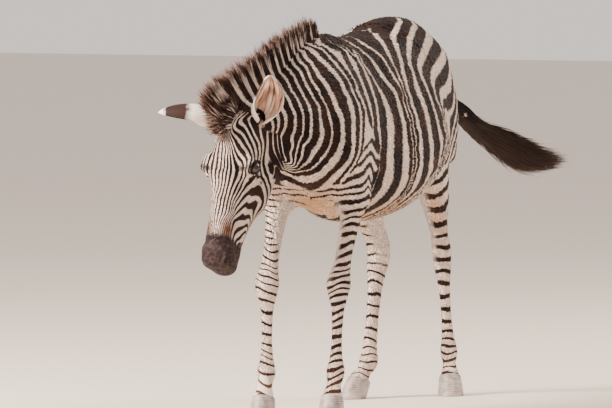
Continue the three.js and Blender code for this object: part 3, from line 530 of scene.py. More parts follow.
def raised(p):
    """How far the hide rises or sinks along its normal: folds, muscles and face features."""
    down, left, back = head_parts(p)
    rise = np.zeros(len(p))
    face = (p[:, 1] < HEAD_REAR) & (np.abs(left) < HEAD_HALF)
    for side in (1, -1):
        # facial crest, from under the eye toward the mouth, and the hollow in front of it
        crest, share = near_face_line(p, side, FACIAL_CREST)
        rise += face * 3.4 * gauss(crest, 9) * (1 - 0.5 * share)
        rise -= face * 3.2 * gauss(near_face_line(p, side, CREST_HOLLOW)[0], 17)
        # hollow over the eye, and the arch behind it
        brow_down, brow_side, brow_back = BROW_HOLLOW
        hollow = np.linalg.norm(p - on_head(brow_down, side * brow_side, brow_back), axis=1)
        rise -= face * 4.5 * gauss(hollow, 17)
        rise += face * 2.6 * gauss(near_face_line(p, side, BROW_ARCH)[0], 8)
        # rear edge of the cheek muscle, and the groove of the jaw in front of it
        rise += face * 2.2 * gauss(near_face_line(p, side, CHEEK_EDGE)[0], 12)
        rise -= face * 2.4 * gauss(near_face_line(p, side, JAW_GROOVE)[0], 8)
        # nostril: a comma-shaped opening with a raised rim
        slit, _ = near_face_line(p, side, NOSTRIL, NOSTRIL_SHIFT)
        rise += face * (3.4 * gauss(slit - 9, 4.5) - 15 * smooth(7.5, 2.0, slit))
        # corner of the mouth and the line of the lips
        lips, share = near_face_line(p, side, LIP_LINE)
        rise += face * (1.8 * gauss(lips - 8, 5) - 6.0 * gauss(lips, 2.6) * smooth(0, 0.08, share))
    # flat bridge of the nose
    return rise - face * 1.2 * gauss(left, 10) * smooth(120, 200, down) * smooth(440, 380, down)


SLIT_LENGTH, SLIT_ABOVE, SLIT_BELOW = 20.5, 12.0, 11.0  # the eye's opening, from its middle
LID_REACH = 46  # how far from the eye's middle the lids shape the hide


def lids(p):
    """Moves the hide round each eyeball: under the ball in the opening, over it as lids."""
    for side in (1, -1):
        middle = on_head(EYE_DOWN, side * EYE_SIDE, EYE_BACK)
        outward, along, upward = eye_directions(side)
        off = p - middle
        a, b, h = off @ along, off @ upward, off @ outward
        near = (np.hypot(a, b) < LID_REACH) & (h > -16)
        tall = np.where(b > -0.5, SLIT_ABOVE, SLIT_BELOW)
        slit = (np.abs(a) / SLIT_LENGTH) ** 1.8 + (np.abs(b + 0.5) / tall) ** 1.8
        ball = np.sqrt(np.maximum(EYE_RADIUS**2 - np.minimum(a * a + b * b, 420.0), 0))
        lid = ball + 2.6 - 1.5 * smooth(1.3, 0.95, slit)
        closed = smooth(5.2, 1.35, slit)
        under_ball = ball - 4.5 + 4.2 * smooth(0.8, 1.0, slit)
        height = np.where(slit < 1, under_ball, h + (lid - h) * closed)
        crease = (2.0 * gauss(np.hypot(a / 27, b / 19) - 1, 0.09) * (b > 0)
                  + 1.6 * gauss(np.hypot(a / 28, b / 19) - 1, 0.1) * (b <= 0))
        height = height - np.where(slit > 1.3, crease, 0)
        moved = p + outward * (height - h)[:, None]
        p = np.where(near[:, None], moved, p)
    return p


shape_normal = normals(skin, skin_faces)
skin = skin + shape_normal * raised(skin)[:, None]
skin = lids(skin)
skin[:, 2] = np.maximum(skin[:, 2], FLOOR_CUT)


# ---- Markings ----
# Stripes along their pale middle lines: for each, its count from the first, and places
# (x, y, z, pale width) on the body, or (down the face, left, back, pale width) on the head.
# The lines were picked by eye, and a separate program then centred the places in their bands,
# measured the widths, laid them on the body's form, thinned them and rounded them.
TRUNK_LINES = [
    (0, [(-36, -144, 981, 8), (-34, -145, 954, 10)]),
    (1, [(-29, -127, 1009, 17), (-21, -128, 980, 11), (-24, -134, 953, 8), (-36, -145, 926, 8),
         (-38, -140, 900, 9), (-33, -119, 872, 10), (-43, -125, 844, 11)]),
    (2, [(-21, -109, 1032, 16), (-6, -109, 1006, 11), (-1, -113, 980, 9), (-6, -119, 952, 9),
         (-17, -125, 926, 10), (-15, -105, 871, 8), (-30, -98, 844, 6)]),
    (3, [(-6, -79, 1058, 8), (23, -90, 1006, 9), (26, -96, 979, 9), (25, -99, 952, 10),
         (16, -103, 926, 11), (17, -97, 898, 12), (5, -83, 843, 16)]),
    (4, [(-52, -17, 1137, 10), (-24, -34, 1111, 9), (-6, -49, 1084, 9), (33, -69, 1033, 8),
         (44, -76, 1006, 8), (49, -85, 952, 7), (45, -87, 932, 0), (24, -88, 878, 0)]),
    (5, [(-49, 12, 1160, 11), (-20, -7, 1137, 9), (0, -19, 1111, 9), (55, -48, 1031, 10),
         (65, -58, 1005, 9), (70, -65, 979, 9), (70, -71, 952, 9), (47, -83, 898, 10),
         (23, -75, 842, 4)]),
    (6, [(-45, 51, 1187, 13), (-17, 17, 1161, 10), (11, 5, 1136, 9), (25, -6, 1110, 9),
         (44, -12, 1083, 10), (79, -16, 1030, 12), (100, -42, 951, 20), (99, -47, 924, 22),
         (90, -54, 898, 23), (58, -61, 849, 20), (-21, -83, 830, 4)]),
    (7, [(-20, 47, 1187, 15), (12, 29, 1162, 10), (31, 16, 1136, 8), (47, 6, 1110, 8), (81, 2, 1057, 5),
         (98, 2, 1030, 0), (125, -13, 950, 0), (119, -26, 897, 0), (85, -39, 843, 0), (53, -49, 819, 0),
         (14, -61, 812, 0)]),
    (8, [(6, 54, 1187, 10), (36, 41, 1162, 11), (56, 32, 1134, 13), (97, 31, 1082, 19),
         (124, 23, 1029, 24), (152, 11, 950, 19), (149, 0, 896, 24), (139, -3, 869, 29),
         (117, -7, 841, 36), (95, -9, 818, 42), (69, -16, 797, 45), (46, -31, 790, 43),
         (22, -44, 792, 38), (-25, -72, 812, 20), (-40, -111, 826, 8)]),
    (9, [(12, 93, 1211, 24), (47, 79, 1186, 21), (76, 80, 1160, 21), (100, 85, 1134, 22),
         (121, 85, 1107, 20), (151, 76, 1055, 17), (170, 63, 1001, 20), (175, 54, 975, 20),
         (179, 43, 895, 19), (176, 39, 868, 16), (165, 32, 842, 15), (141, 26, 812, 19),
         (105, 39, 783, 27), (69, 63, 753, 36), (39, 64, 741, 38), (12, 59, 737, 35), (-7, 31, 749, 35),
         (-17, -19, 764, 40), (-41, -30, 773, 43), (-45, -96, 789, 43)]),
    (10, [(151, 107, 1079, 9), (176, 107, 1027, 13), (188, 96, 973, 14), (190, 77, 894, 14),
         (178, 58, 840, 12), (162, 46, 812, 13), (113, 65, 758, 16), (78, 96, 728, 20),
         (46, 123, 1212, 0), (138, 116, 1106, 0)]),
    (11, [(17, 145, 1234, 26), (59, 146, 1211, 25), (111, 146, 1159, 19), (160, 131, 1080, 14),
         (173, 132, 1053, 14), (189, 137, 998, 13), (192, 124, 972, 12), (194, 123, 945, 13),
         (192, 110, 892, 15), (185, 79, 839, 11), (175, 69, 813, 9)]),
    (12, [(92, 206, 1208, 14), (145, 182, 1130, 18), (170, 176, 1077, 18), (188, 178, 1023, 18),
         (195, 188, 969, 14), (195, 185, 942, 0), (188, 195, 888, 0), (188, 184, 861, 0),
         (190, 142, 829, 0), (184, 118, 797, 0), (157, 94, 750, 0)]),
    (13, [(102, 243, 1208, 11), (124, 242, 1181, 16), (140, 236, 1155, 21), (176, 233, 1074, 27),
         (190, 239, 1020, 26), (195, 238, 966, 28), (192, 264, 911, 22), (189, 277, 884, 0),
         (176, 304, 801, 0), (152, 301, 740, 0), (173, 147, 714, 0)]),
    (14, [(129, 256, 1171, 22), (146, 305, 1124, 17), (164, 342, 1068, 22), (192, 346, 988, 34),
         (202, 335, 908, 48), (198, 337, 854, 55), (190, 353, 799, 66), (182, 364, 772, 71),
         (170, 367, 744, 73), (151, 363, 717, 66), (177, 199, 701, 52), (31, 219, 1248, 0),
         (69, 214, 1228, 0), (103, 228, 1205, 0)]),
    (15, [(47, 376, 1226, 15), (83, 389, 1200, 18), (110, 394, 1173, 22), (149, 395, 1120, 24),
         (168, 401, 1093, 25), (207, 413, 1012, 33), (220, 420, 959, 38), (225, 426, 877, 54),
         (220, 440, 823, 60), (206, 464, 767, 64), (193, 470, 740, 60), (174, 468, 714, 51),
         (145, 456, 685, 41)]),
    (16, [(-1, 482, 1245, 22), (64, 439, 1224, 19), (105, 446, 1198, 21), (135, 452, 1172, 23),
         (171, 445, 1119, 19), (187, 449, 1092, 15), (201, 457, 1064, 0), (229, 459, 957, 0),
         (236, 471, 875, 0), (223, 495, 793, 0), (190, 515, 724, 0)]),
    (17, [(101, 542, 1220, 23), (127, 509, 1195, 23), (147, 491, 1170, 20), (165, 478, 1143, 0),
         (213, 473, 1043, 0)]),
    (18, [(59, 829, 1285, 22), (77, 742, 1264, 26), (123, 604, 1218, 29), (162, 544, 1167, 26),
         (189, 503, 1115, 29), (209, 487, 1062, 30), (219, 486, 1036, 31), (239, 499, 955, 35),
         (245, 514, 873, 43), (231, 544, 791, 47), (220, 554, 763, 47), (205, 559, 737, 42),
         (183, 555, 708, 32), (157, 537, 683, 21)]),
    (19, [(60, 942, 1281, 21), (102, 835, 1261, 27), (122, 755, 1237, 28), (136, 704, 1213, 28),
         (152, 653, 1189, 27), (174, 595, 1166, 23), (189, 574, 1139, 19), (203, 566, 1113, 19),
         (235, 558, 1033, 29), (248, 569, 979, 33), (255, 580, 924, 34), (255, 598, 870, 37),
         (245, 618, 815, 35), (223, 637, 760, 28), (205, 638, 732, 22)]),
    (20, [(127, 926, 1229, 49), (151, 837, 1208, 42), (166, 766, 1184, 37), (179, 698, 1160, 37),
         (200, 627, 1137, 34), (212, 612, 1111, 27), (224, 614, 1085, 21), (243, 625, 1030, 22),
         (258, 650, 948, 27), (259, 661, 921, 27), (251, 693, 838, 25), (242, 705, 810, 23),
         (230, 710, 783, 20)]),
    (21, [(161, 979, 1172, 41), (177, 909, 1150, 47), (193, 819, 1129, 48), (208, 737, 1105, 43),
         (221, 702, 1080, 32), (233, 684, 1054, 21), (244, 679, 1027, 17), (245, 713, 1000, 17),
         (250, 720, 972, 17), (249, 756, 916, 18), (246, 767, 888, 20), (211, 863, 829, 19),
         (215, 818, 805, 12)]),
    (22, [(193, 944, 1067, 72), (213, 846, 1047, 63), (234, 751, 1023, 54)]),
    (23, [(203, 950, 985, 25), (215, 882, 974, 24), (242, 772, 960, 21)]),
    (24, [(198, 938, 865, 27), (234, 804, 855, 17)]),
    (25, [(196, 886, 787, 32), (187, 865, 763, 33), (213, 738, 758, 39)]),
    (26, [(187, 914, 735, 48), (173, 895, 721, 53), (154, 892, 711, 58)]),
    (27, [(172, 956, 684, 64), (156, 942, 670, 56), (136, 938, 664, 49)]),
    (28, [(154, 1007, 622, 52), (126, 983, 619, 46)]),
    (29, [(139, 1047, 570, 44), (117, 1028, 570, 50)]),
    (30, [(132, 1067, 534, 11), (107, 1053, 536, 14)]),
    (12, [(27, 211, 1248, 0), (67, 201, 1226, 0)]),
]
BROW_LINES = [
    (0, [(129, -1, -5, 14), (161, 3, -10, 9), (185, 4, -12, 7), (206, 7, -13, 7), (229, 5, -12, 7)]),
    (1, [(111, 2, -1, 7), (133, 10, -6, 6), (153, 17, -7, 6), (194, 18, -11, 6), (228, 16, -10, 6)]),
    (3, [(108, 10, 0, 8), (125, 15, -3, 7), (159, 27, -5, 7), (193, 36, -4, 8), (209, 40, -1, 10),
         (226, 39, 1, 12)]),
    (4, [(159, 41, 2, 3), (175, 45, 3, 7), (200, 60, 15, 10), (212, 61, 18, 9), (225, 57, 21, 9),
         (97, 9, 2, 0), (121, 22, -2, 0), (151, 35, -1, 0)]),
    (5, [(86, 5, 3, 7), (106, 18, 1, 7), (127, 32, 2, 8), (143, 41, 3, 8), (158, 49, 8, 9),
         (182, 73, 13, 10), (196, 77, 14, 10), (209, 73, 16, 12), (225, 69, 28, 17)]),
    (6, [(75, 16, 5, 16), (95, 30, 8, 11), (110, 44, 13, 9), (124, 54, 19, 9), (138, 61, 26, 10),
         (154, 77, 22, 11), (166, 88, 22, 10)]),
    (7, [(64, 6, 2, 6), (72, 25, 7, 7), (82, 40, 15, 9), (95, 52, 23, 9), (121, 65, 37, 9),
         (145, 74, 51, 9), (158, 87, 40, 9)]),
    (8, [(44, 36, 10, 12), (58, 49, 24, 10), (71, 57, 33, 9), (87, 64, 40, 9), (102, 70, 48, 10),
         (116, 75, 59, 10), (142, 77, 70, 12), (150, 79, 79, 18)]),
    (9, [(40, 54, 30, 6), (64, 66, 45, 7), (81, 72, 53, 7), (96, 78, 66, 8), (109, 81, 81, 10),
         (125, 80, 89, 11), (140, 80, 100, 11)]),
    (10, [(43, 71, 55, 9), (65, 80, 77, 10), (91, 83, 89, 11), (112, 84, 105, 9), (156, 80, 109, 8),
         (176, 81, 109, 11), (192, 83, 115, 15)]),
    (11, [(119, 86, 127, 14), (142, 82, 127, 10), (163, 83, 129, 9), (185, 88, 140, 9)]),
    (-1, [(143, -11, -7, 10), (178, -7, -12, 7), (212, -8, -13, 6), (229, -9, -11, 5), (122, -14, -4, 0)]),
    (-2, [(119, -27, 0, 12), (143, -26, -4, 12), (164, -28, -6, 11), (185, -26, -8, 11),
         (212, -26, -8, 11), (232, -28, -4, 11)]),
    (-3, [(170, -44, 3, 4), (193, -55, 10, 15), (209, -59, 16, 16), (228, -60, 26, 15), (100, -35, 10, 0),
         (129, -37, 2, 0), (149, -41, 3, 0)]),
    (-4, [(77, -28, 8, 12), (96, -47, 19, 11), (154, -68, 18, 10), (175, -69, 13, 8), (196, -75, 15, 8),
         (212, -76, 17, 9)]),
    (2, [(101, 4, 1, 0), (142, 20, -5, 0), (183, 27, -8, 0), (204, 29, -8, 0)]),
]
CHEEK_LINES = [
    (0, [(246, 1, -10, 7), (280, -2, -7, 5), (296, -10, -5, 5), (313, -12, -4, 5), (347, -15, -3, 6),
         (382, -14, -5, 6)]),
    (1, [(245, 14, -8, 5), (280, 9, -6, 4), (313, 0, -5, 4), (348, -1, -6, 6), (365, -4, -6, 6),
         (382, -4, -6, 4)]),
    (2, [(217, 26, -8, 3), (262, 22, -3, 5), (296, 17, -3, 4), (330, 14, -3, 4), (364, 8, -6, 7),
         (382, 8, -6, 9)]),
    (3, [(243, 35, 2, 9), (260, 34, 3, 7), (277, 30, 3, 7), (312, 25, 2, 5), (329, 23, 1, 5),
         (364, 21, -1, 6), (381, 15, -5, 5)]),
    (4, [(239, 53, 20, 8), (257, 46, 15, 7), (293, 37, 10, 6), (310, 34, 9, 6), (345, 31, 6, 5),
         (359, 29, 4, 4)]),
    (5, [(240, 60, 33, 6), (256, 54, 27, 6), (291, 46, 19, 6), (326, 39, 15, 8), (344, 39, 14, 10),
         (358, 36, 11, 12)]),
    (6, [(200, 81, 94, 16), (216, 93, 52, 20), (222, 86, 37, 20), (228, 73, 37, 16), (239, 64, 41, 10),
         (253, 61, 40, 7), (268, 58, 36, 4), (282, 54, 32, 0), (327, 43, 20, 0), (343, 41, 17, 0)]),
    (7, [(221, 81, 110, 10), (234, 77, 93, 15), (260, 68, 65, 18), (283, 58, 42, 14), (309, 50, 30, 8),
         (322, 47, 26, 6), (335, 44, 23, 6), (349, 45, 25, 7)]),
    (7, [(237, 84, 130, 13), (258, 84, 149, 17), (296, 76, 170, 26)]),
    (8, [(282, 76, 113, 10), (291, 70, 98, 17), (299, 66, 79, 20), (318, 55, 44, 13), (338, 48, 30, 6)]),
    (8, [(286, 78, 126, 12), (298, 76, 137, 17), (311, 72, 138, 17), (325, 66, 136, 13)]),
    (9, [(325, 65, 114, 13), (335, 61, 95, 18), (343, 58, 67, 19), (348, 52, 43, 17), (354, 48, 31, 14),
         (367, 44, 24, 12), (383, 42, 19, 12)]),
    (10, [(361, 56, 112, 13), (372, 56, 85, 16), (380, 53, 55, 18), (391, 50, 40, 18), (405, 48, 32, 14),
         (419, 47, 28, 8)]),
    (11, [(388, 52, 108, 37), (400, 53, 86, 29), (423, 52, 61, 26), (434, 51, 43, 23)]),
    (12, [(415, 43, 121, 16), (430, 48, 99, 12), (443, 52, 71, 10), (450, 52, 53, 7)]),
    (6, [(202, 85, 123, 16), (215, 88, 142, 14), (244, 85, 173, 18)]),
    (5, [(200, 90, 153, 11), (214, 90, 168, 11), (227, 85, 191, 11)]),
    (-1, [(246, -11, -9, 7), (263, -11, -7, 7), (280, -13, -5, 7), (314, -19, -1, 5)]),
    (-2, [(245, -27, -3, 12), (266, -25, -2, 8), (286, -27, 0, 6)]),
    (-3, [(243, -51, 18, 5), (261, -40, 7, 7)]),
    (-4, [(226, -78, 37, 3)]),
]
NECK_MIDDLE = ([-400, -184, -100, 0, 120, 250, 330], [-136, -136, -104, -64, -22, 4, 0])  # y, x
FORELEG_PATCH = [  # the banded patch over the elbow, seen from the side: y, z
    (139, 992), (115, 891), (79, 839), (52, 799), (62, 750), (40, 700), (-190, 690), (-190, -60),
    (330, -60), (262, 690), (275, 770), (289, 805), (285, 829), (273, 857), (245, 885), (214, 914),
    (175, 943),
]
# heights of the pale bands down each leg, and how much of a band's pitch is pale on each side
LEG_BANDS = {
    "foreleg_left": [
        930, 895, 855, 810, 772, 743, 693, 659, 639, 612, 582, 545, 514, 487, 470, 443, 420, 406,
        383, 356, 329, 305, 282, 248, 214, 187, 167, 140, 120, 93, 66, 40],
    "foreleg_right": [
        880, 845, 810, 772, 740, 710, 685, 663, 640, 616, 596, 579, 562, 539, 512, 495, 478, 454,
        434, 400, 367, 326, 293, 259, 229, 205, 188, 161, 131, 97, 66, 40],
    "hindleg_left": [
        700, 660, 616, 565, 532, 491, 444, 404, 360, 316, 275, 235, 201, 178, 154, 134, 107, 93, 60,
        29],
    "hindleg_right": [
        925, 868, 812, 762, 716, 676, 628, 604, 567, 536, 499, 462, 432, 402, 365, 324, 294, 253,
        213, 176, 152, 132, 108, 88, 68, 48],
}
LEG_PALE = {"foreleg_left": 0.27, "foreleg_right": 0.36, "hindleg_left": 0.31, "hindleg_right": 0.37}
MOST_PALE = 0.34  # of a pitch, on each side of a trunk stripe's middle line
FORE_END, HIND_START = 420, 700  # the forelegs lie in front of this y, the hind legs behind


def through_places(places, values, soft, slack=0.0):
    """A smooth field through these values at these places, or near them where it has some slack."""
    places = np.asarray(places, float) / 1000
    count = len(places)
    grid = np.zeros((count + 4, count + 4))
    away = ((places[:, None] - places[None]) ** 2).sum(2)
    grid[:count, :count] = np.sqrt(away + soft**2) - slack * np.eye(count)
    flat = np.column_stack([np.ones(count), places])
    grid[:count, count:] = flat
    grid[count:, :count] = flat.T
    share = np.linalg.solve(grid, np.concatenate([values, np.zeros(4)]))

    def field(p):
        p = np.asarray(p, float) / 1000
        out = np.empty(len(p))
        for start in range(0, len(p), 20000):
            q = p[start:start + 20000]
            away = ((q[:, None] - places[None]) ** 2).sum(2)
            out[start:start + 20000] = (np.sqrt(away + soft**2) @ share[:count]
                                        + share[count] + q @ share[count + 1:])
        return out
    return field


def stripe_fields(lines, unfold, soft, slack, onto_body=lambda p: p):
    """Fields of the stripes' count and of the pale half width in counts, from the drawn lines."""
    drawn = np.array([row[:3] for _, rows in lines for row in rows], float)
    count = np.array([label for label, rows in lines for _ in rows], float)
    width = np.array([row[3] for _, rows in lines for row in rows], float)
    places, first = np.unique(np.round(unfold(drawn)), axis=0, return_index=True)
    drawn, count, width = drawn[first], count[first], width[first]
    phase = through_places(places, count, soft, slack)
    steps = 3 * np.eye(3)
    slope = np.stack([phase(unfold(drawn + step)) - phase(unfold(drawn - step))
                      for step in steps], 1) / 6
    here = body_distance(onto_body(drawn))
    out = unit(np.stack([body_distance(onto_body(drawn + step)) - here for step in steps], 1))
    slope = slope - out * (slope * out).sum(1, keepdims=True)
    across = unit(slope)
    reach = np.maximum(width, 8)[:, None] * 0.8
    climb = phase(unfold(drawn + across * reach)) - phase(unfold(drawn - across * reach))
    steep = climb / (2 * reach[:, 0])
    part = np.clip(width * steep / 2, 0, MOST_PALE)
    # the two edges of each pale band are held as well, so that its width comes out as drawn
    wide = (width > 8) & (soft > 0.01)
    edge = across[wide] * width[wide, None] / 2
    places = unfold(np.vstack([drawn, drawn[wide] + edge, drawn[wide] - edge]))
    values = np.concatenate([count, count[wide] + part[wide], count[wide] - part[wide]])
    phase = through_places(places, values, soft, slack)
    half = through_places(unfold(drawn), part, 0.02, 0.01)
    return phase, half


def fold_trunk(p):
    middle = np.interp(p[:, 1], *NECK_MIDDLE)
    off = p[:, 0] - middle
    right = off < 0
    out = np.column_stack([np.sqrt(off**2 + 9), p[:, 1], p[:, 2]])
    wander = right * smooth(0, 90, -off)
    out[:, 1] += wander * 9 * np.sin(p[:, 2] / 83 + 1.0)
    out[:, 2] += wander * 8 * np.sin(p[:, 1] / 97)
    return out


def mirrored(lines, least):
    """The lines from one count on, drawn on the other side of the face as well."""
    return [(-label, [(d, -l, b, w) for d, l, b, w in rows]) for label, rows in lines if label >= least]


def inside_outline(outline, y, z):
    """How far places are inside a drawn outline, and outside it as less than nothing."""
    outline = np.array(outline, float)
    ends = np.roll(outline, -1, 0)
    nearest = np.full(len(y), np.inf)
    inside = np.zeros(len(y), bool)
    for (ay, az), (by, bz) in zip(outline, ends):
        dy, dz = by - ay, bz - az
        f = np.clip(((y - ay) * dy + (z - az) * dz) / (dy * dy + dz * dz), 0, 1)
        nearest = np.minimum(nearest, np.hypot(y - ay - f * dy, z - az - f * dz))
        crosses = (az > z) != (bz > z)
        inside ^= crosses & (y < ay + (z - az) / (dz if dz else 1) * dy)
    return np.where(inside, nearest, -nearest)


def from_head(q):
    """Places on the head from how far they are down the face, to the left and back."""
    return POLL + q[:, :1] * DOWN_FACE + q[:, 1:2] * HEAD_LEFT - q[:, 2:] * OUT_OF_FACE


as_drawn = lambda q: q
trunk_phase, trunk_half = stripe_fields(TRUNK_LINES, fold_trunk, 0.012, 0.002)
brow_phase, brow_half = stripe_fields(
    BROW_LINES + mirrored(BROW_LINES, 6), as_drawn, 0.006, 0.006, from_head)
cheek_phase, cheek_half = stripe_fields(
    CHEEK_LINES + mirrored(CHEEK_LINES, 5), as_drawn, 0.006, 0.004, from_head)


def beside_leg(name, p, rear=HIND_START, inside=0):
    """Which places lie on one leg's side of the body and in its front or its rear part."""
    part = p[:, 1] < FORE_END if name.startswith("fore") else p[:, 1] > rear
    return (p[:, 0] * LEGS[name][0] > inside) & part


def leg_axis(name, z):
    joints = np.array(LEGS[name][3], float)[::-1]
    return np.stack([np.interp(z, joints[:, 2], joints[:, axis]) for axis in (0, 1)], 1)


def markings(p):
    """For places on the hide: the counts, half widths and shares of three sets of stripes."""
    down, left, back = head_parts(p)
    count = len(p)
    phase, half, share = np.zeros((count, 3)), np.zeros((count, 3)), np.zeros((count, 3))
    throat = -50 - 0.6 * np.clip(720 - p[:, 2], 0, 400)
    face = (np.abs(left) < HEAD_HALF) & (down < 580) & (back < 250) & (p[:, 1] < throat)
    # behind the jaw and under the throat the neck's own stripes begin
    rear = 96 + 0.62 * np.clip(down - 60, 0, 400)
    rear = np.where(down < 60, 90, rear + 60)
    face_share = np.where(face, smooth(14, -14, back - rear) * smooth(-12, 26, down), 0)
    face_share = np.where(down > 300, face, face_share)
    on_face = face_share > 0
    if on_face.any():
        q = np.stack([down, left, back], 1)[on_face]
        low_share = smooth(206, 232, q[:, 0] + 0.12 * np.clip(q[:, 2] - 60, 0, 200))
        brow, cheek = brow_phase(q), cheek_phase(q)
        brow_pale = np.clip(brow_half(q) * 0.9, 0, 0.25)
        cheek_pale = np.clip(cheek_half(q), 0, 0.26)
        # the lines down the nose run on from one field to the other
        agree = (np.abs(brow - cheek) < 0.48) & (np.abs(q[:, 1]) < 70)
        lower = smooth(196, 250, q[:, 0])
        both = brow + (cheek - brow) * lower
        both_pale = brow_pale + (cheek_pale - brow_pale) * lower
        for column, own, own_pale in ((1, brow, brow_pale), (2, cheek, cheek_pale)):
            phase[on_face, column] = np.where(agree, both, own)
            half[on_face, column] = np.where(agree, both_pale, own_pale)
        share[on_face, 1] = face_share[on_face] * (1 - low_share)
        share[on_face, 2] = face_share[on_face] * low_share
    rest = share[:, 1] + share[:, 2] < 1
    folded = fold_trunk(p[rest])
    phase[rest, 0] = trunk_phase(folded)
    spine = smooth(12, 60, folded[:, 0]) + smooth(260, 130, folded[:, 1]) + smooth(1090, 1010, folded[:, 2])
    half[rest, 0] = np.clip(trunk_half(folded), 0, MOST_PALE) * np.clip(spine, 0.12, 1)
    flank = 0.9 - 0.17 * smooth(150, 350, p[rest, 1])
    flank = flank * (1 - 0.35 * smooth(1180, 1260, p[rest, 1]) * smooth(1200, 1150, p[rest, 2]))
    breast = gauss(p[:, 0] - 30, 48) * gauss(p[:, 1] - 150, 100) * gauss(p[:, 2] - 690, 40)
    half[rest, 0] = half[rest, 0] * flank + 0.7 * breast[rest]
    for name, heights in LEG_BANDS.items():
        side = LEGS[name][0]
        fore = name.startswith("fore")
        own = beside_leg(name, p, inside=-8) & ~on_face & (p[:, 2] < 1010)
        q = p[own]
        axis = leg_axis(name, q[:, 2])
        inward, rearward = (axis[:, 0] - q[:, 0]) * side, q[:, 1] - axis[:, 1]
        if fore:
            shift = LEGS[name][3][0][1] - 186
            leg_share = smooth(-13, 13, inside_outline(FORELEG_PATCH, q[:, 1] - shift, q[:, 2]))
            leg_share = leg_share * (1 - np.clip(1.3 * breast[own], 0, 1))
            level = q[:, 2] + 0.35 * inward * smooth(760, 640, q[:, 2])
            level = level + 0.42 * np.abs(q[:, 1] - shift - 180) * smooth(640, 780, q[:, 2])
        else:
            leg_share = smooth(680, 560, q[:, 2]) if side > 0 else smooth(890, 740, q[:, 2])
            level = q[:, 2] + (0.0 if side > 0 else 0.3) * rearward * smooth(600, 400, q[:, 2])
        level = level + 3.0 * np.sin(rearward / 13 + q[:, 2] / 31) + 2.5 * np.sin(inward / 9 + q[:, 2] / 17)
        heights = np.array(heights, float)
        phase[own, 1] = np.interp(-level, -heights, np.arange(len(heights)))
        half[own, 1] = LEG_PALE[name]
        share[own, 1] = leg_share
    share[:, 0] = np.clip(1 - share[:, 1] - share[:, 2], 0, 1)
    return phase, half, share


def tones(p, normal):
    """For places on the hide: dark muzzle, brown of the nose, painted shade round each eye with a small dark
    spot behind it; white, painted warm bounce light as tan under the belly and chest, brown legs.
    """
    down, left, back = head_parts(p)
    front = (p[:, 1] < -100) & (np.abs(left) < 120)
    muzzle = smooth(-9, 9, down - (426 + 0.42 * np.clip(back, 0, 60))) * front
    nose = np.exp(-((down - 410) / 34) ** 2 - ((np.abs(left - 2) - 36) / 19) ** 2
                  - (np.clip(back - 12, 0, 99) / 16) ** 2)
    diamond = np.exp(-(((down - 92) / 34) ** 2 + ((left + 12) / 15) ** 2) ** 1.4) * (back < 40)
    # painted shade: a dark patch round each eye stands in for the shade of its socket; the spot is a small
    # dark spot on the cheek behind the eye
    ring = np.zeros(len(p))
    spot = np.zeros(len(p))
    for side in (1, -1):
        slant_down, slant_back = down - EYE_DOWN + 2, back - EYE_BACK + 2
        length = 0.95 * slant_back - 0.32 * slant_down
        height = 0.95 * slant_down + 0.32 * slant_back
        patch = smooth(1.14, 0.9, np.hypot(length / 46, height / 24)) * (side * left > 52)
        ring = np.maximum(ring, patch)
        spot = np.maximum(spot, smooth(8, 5, np.linalg.norm(p - on_head(236, side * 82, 120), axis=1)))
    white = np.zeros(len(p))
    brown = smooth(230, 90, p[:, 2])
    for name, leg in LEGS.items():
        own = beside_leg(name, p) & (p[:, 1] > 40)
        inner = smooth(0.15, 0.75, -normal[:, 0] * leg[0])
        zone = smooth(420, 520, p[:, 2]) * smooth(900, 780, p[:, 2])
        white = np.maximum(white, np.where(own, inner * zone, 0))
    # painted light: warm bounce light from the floor, painted as a tan tint on the down-facing belly and the
    # low chest
    belly = smooth(-0.2, -0.9, normal[:, 2]) * smooth(760, 660, p[:, 2]) * (p[:, 2] > 560)
    chest = np.exp(-((p[:, 2] - 700) / 60) ** 2 - (p[:, 0] / 90) ** 2)
    bounce_glow = np.maximum(belly * 0.7, chest * (p[:, 1] < 220) * (p[:, 1] > -60))
    return (np.stack([muzzle, np.maximum(nose * front, 0.45 * diamond), np.maximum(ring, spot)], 1),
            np.stack([white, np.clip(bounce_glow, 0, 1), brown], 1))


# the animal's zero in the frame, found from where the frame has its left eye
eye_low, eye_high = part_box("eye_left")
ORIGIN = np.array((eye_low + eye_high) / 2) - on_head(EYE_DOWN, EYE_SIDE, EYE_BACK) / 1000


def mesh_piece(name, points, faces, attributes=(), uv=None):
    """A mesh in the frame's metres from places in the animal's millimetres."""
    faces = np.asarray(faces, np.int32)
    corners = faces.shape[1]
    mesh = bpy.data.meshes.new(name)
    mesh.vertices.add(len(points))
    mesh.vertices.foreach_set("co", (np.asarray(points) / 1000 + ORIGIN).astype(np.float32).ravel())
    mesh.loops.add(faces.size)
    mesh.loops.foreach_set("vertex_index", faces.ravel())
    mesh.polygons.add(len(faces))
    mesh.polygons.foreach_set("loop_start", np.arange(len(faces), dtype=np.int32) * corners)
    mesh.polygons.foreach_set("use_smooth", np.ones(len(faces), bool))
    for key, values in attributes:
        kind = "FLOAT_VECTOR" if np.ndim(values) == 2 else "FLOAT"
        layer = mesh.attributes.new(key, kind, "POINT")
        key = "vector" if kind == "FLOAT_VECTOR" else "value"
        layer.data.foreach_set(key, np.asarray(values, np.float32).ravel())
    if uv is not None:
        mesh.uv_layers.new(name="OFBake").data.foreach_set("uv", np.asarray(uv, np.float32).ravel())
    mesh.update(calc_edges=True)
    mesh.validate()
    piece = bpy.data.objects.new(name, mesh)
    bpy.context.scene.collection.objects.link(piece)
    return piece


def hex_colour(code):
    """An sRGB hex colour as linear red, green, blue and alpha."""
    parts = [int(code[i:i + 2], 16) / 255 for i in (1, 3, 5)]
    return (*[c / 12.92 if c <= 0.04045 else ((c + 0.055) / 1.055) ** 2.4 for c in parts], 1.0)


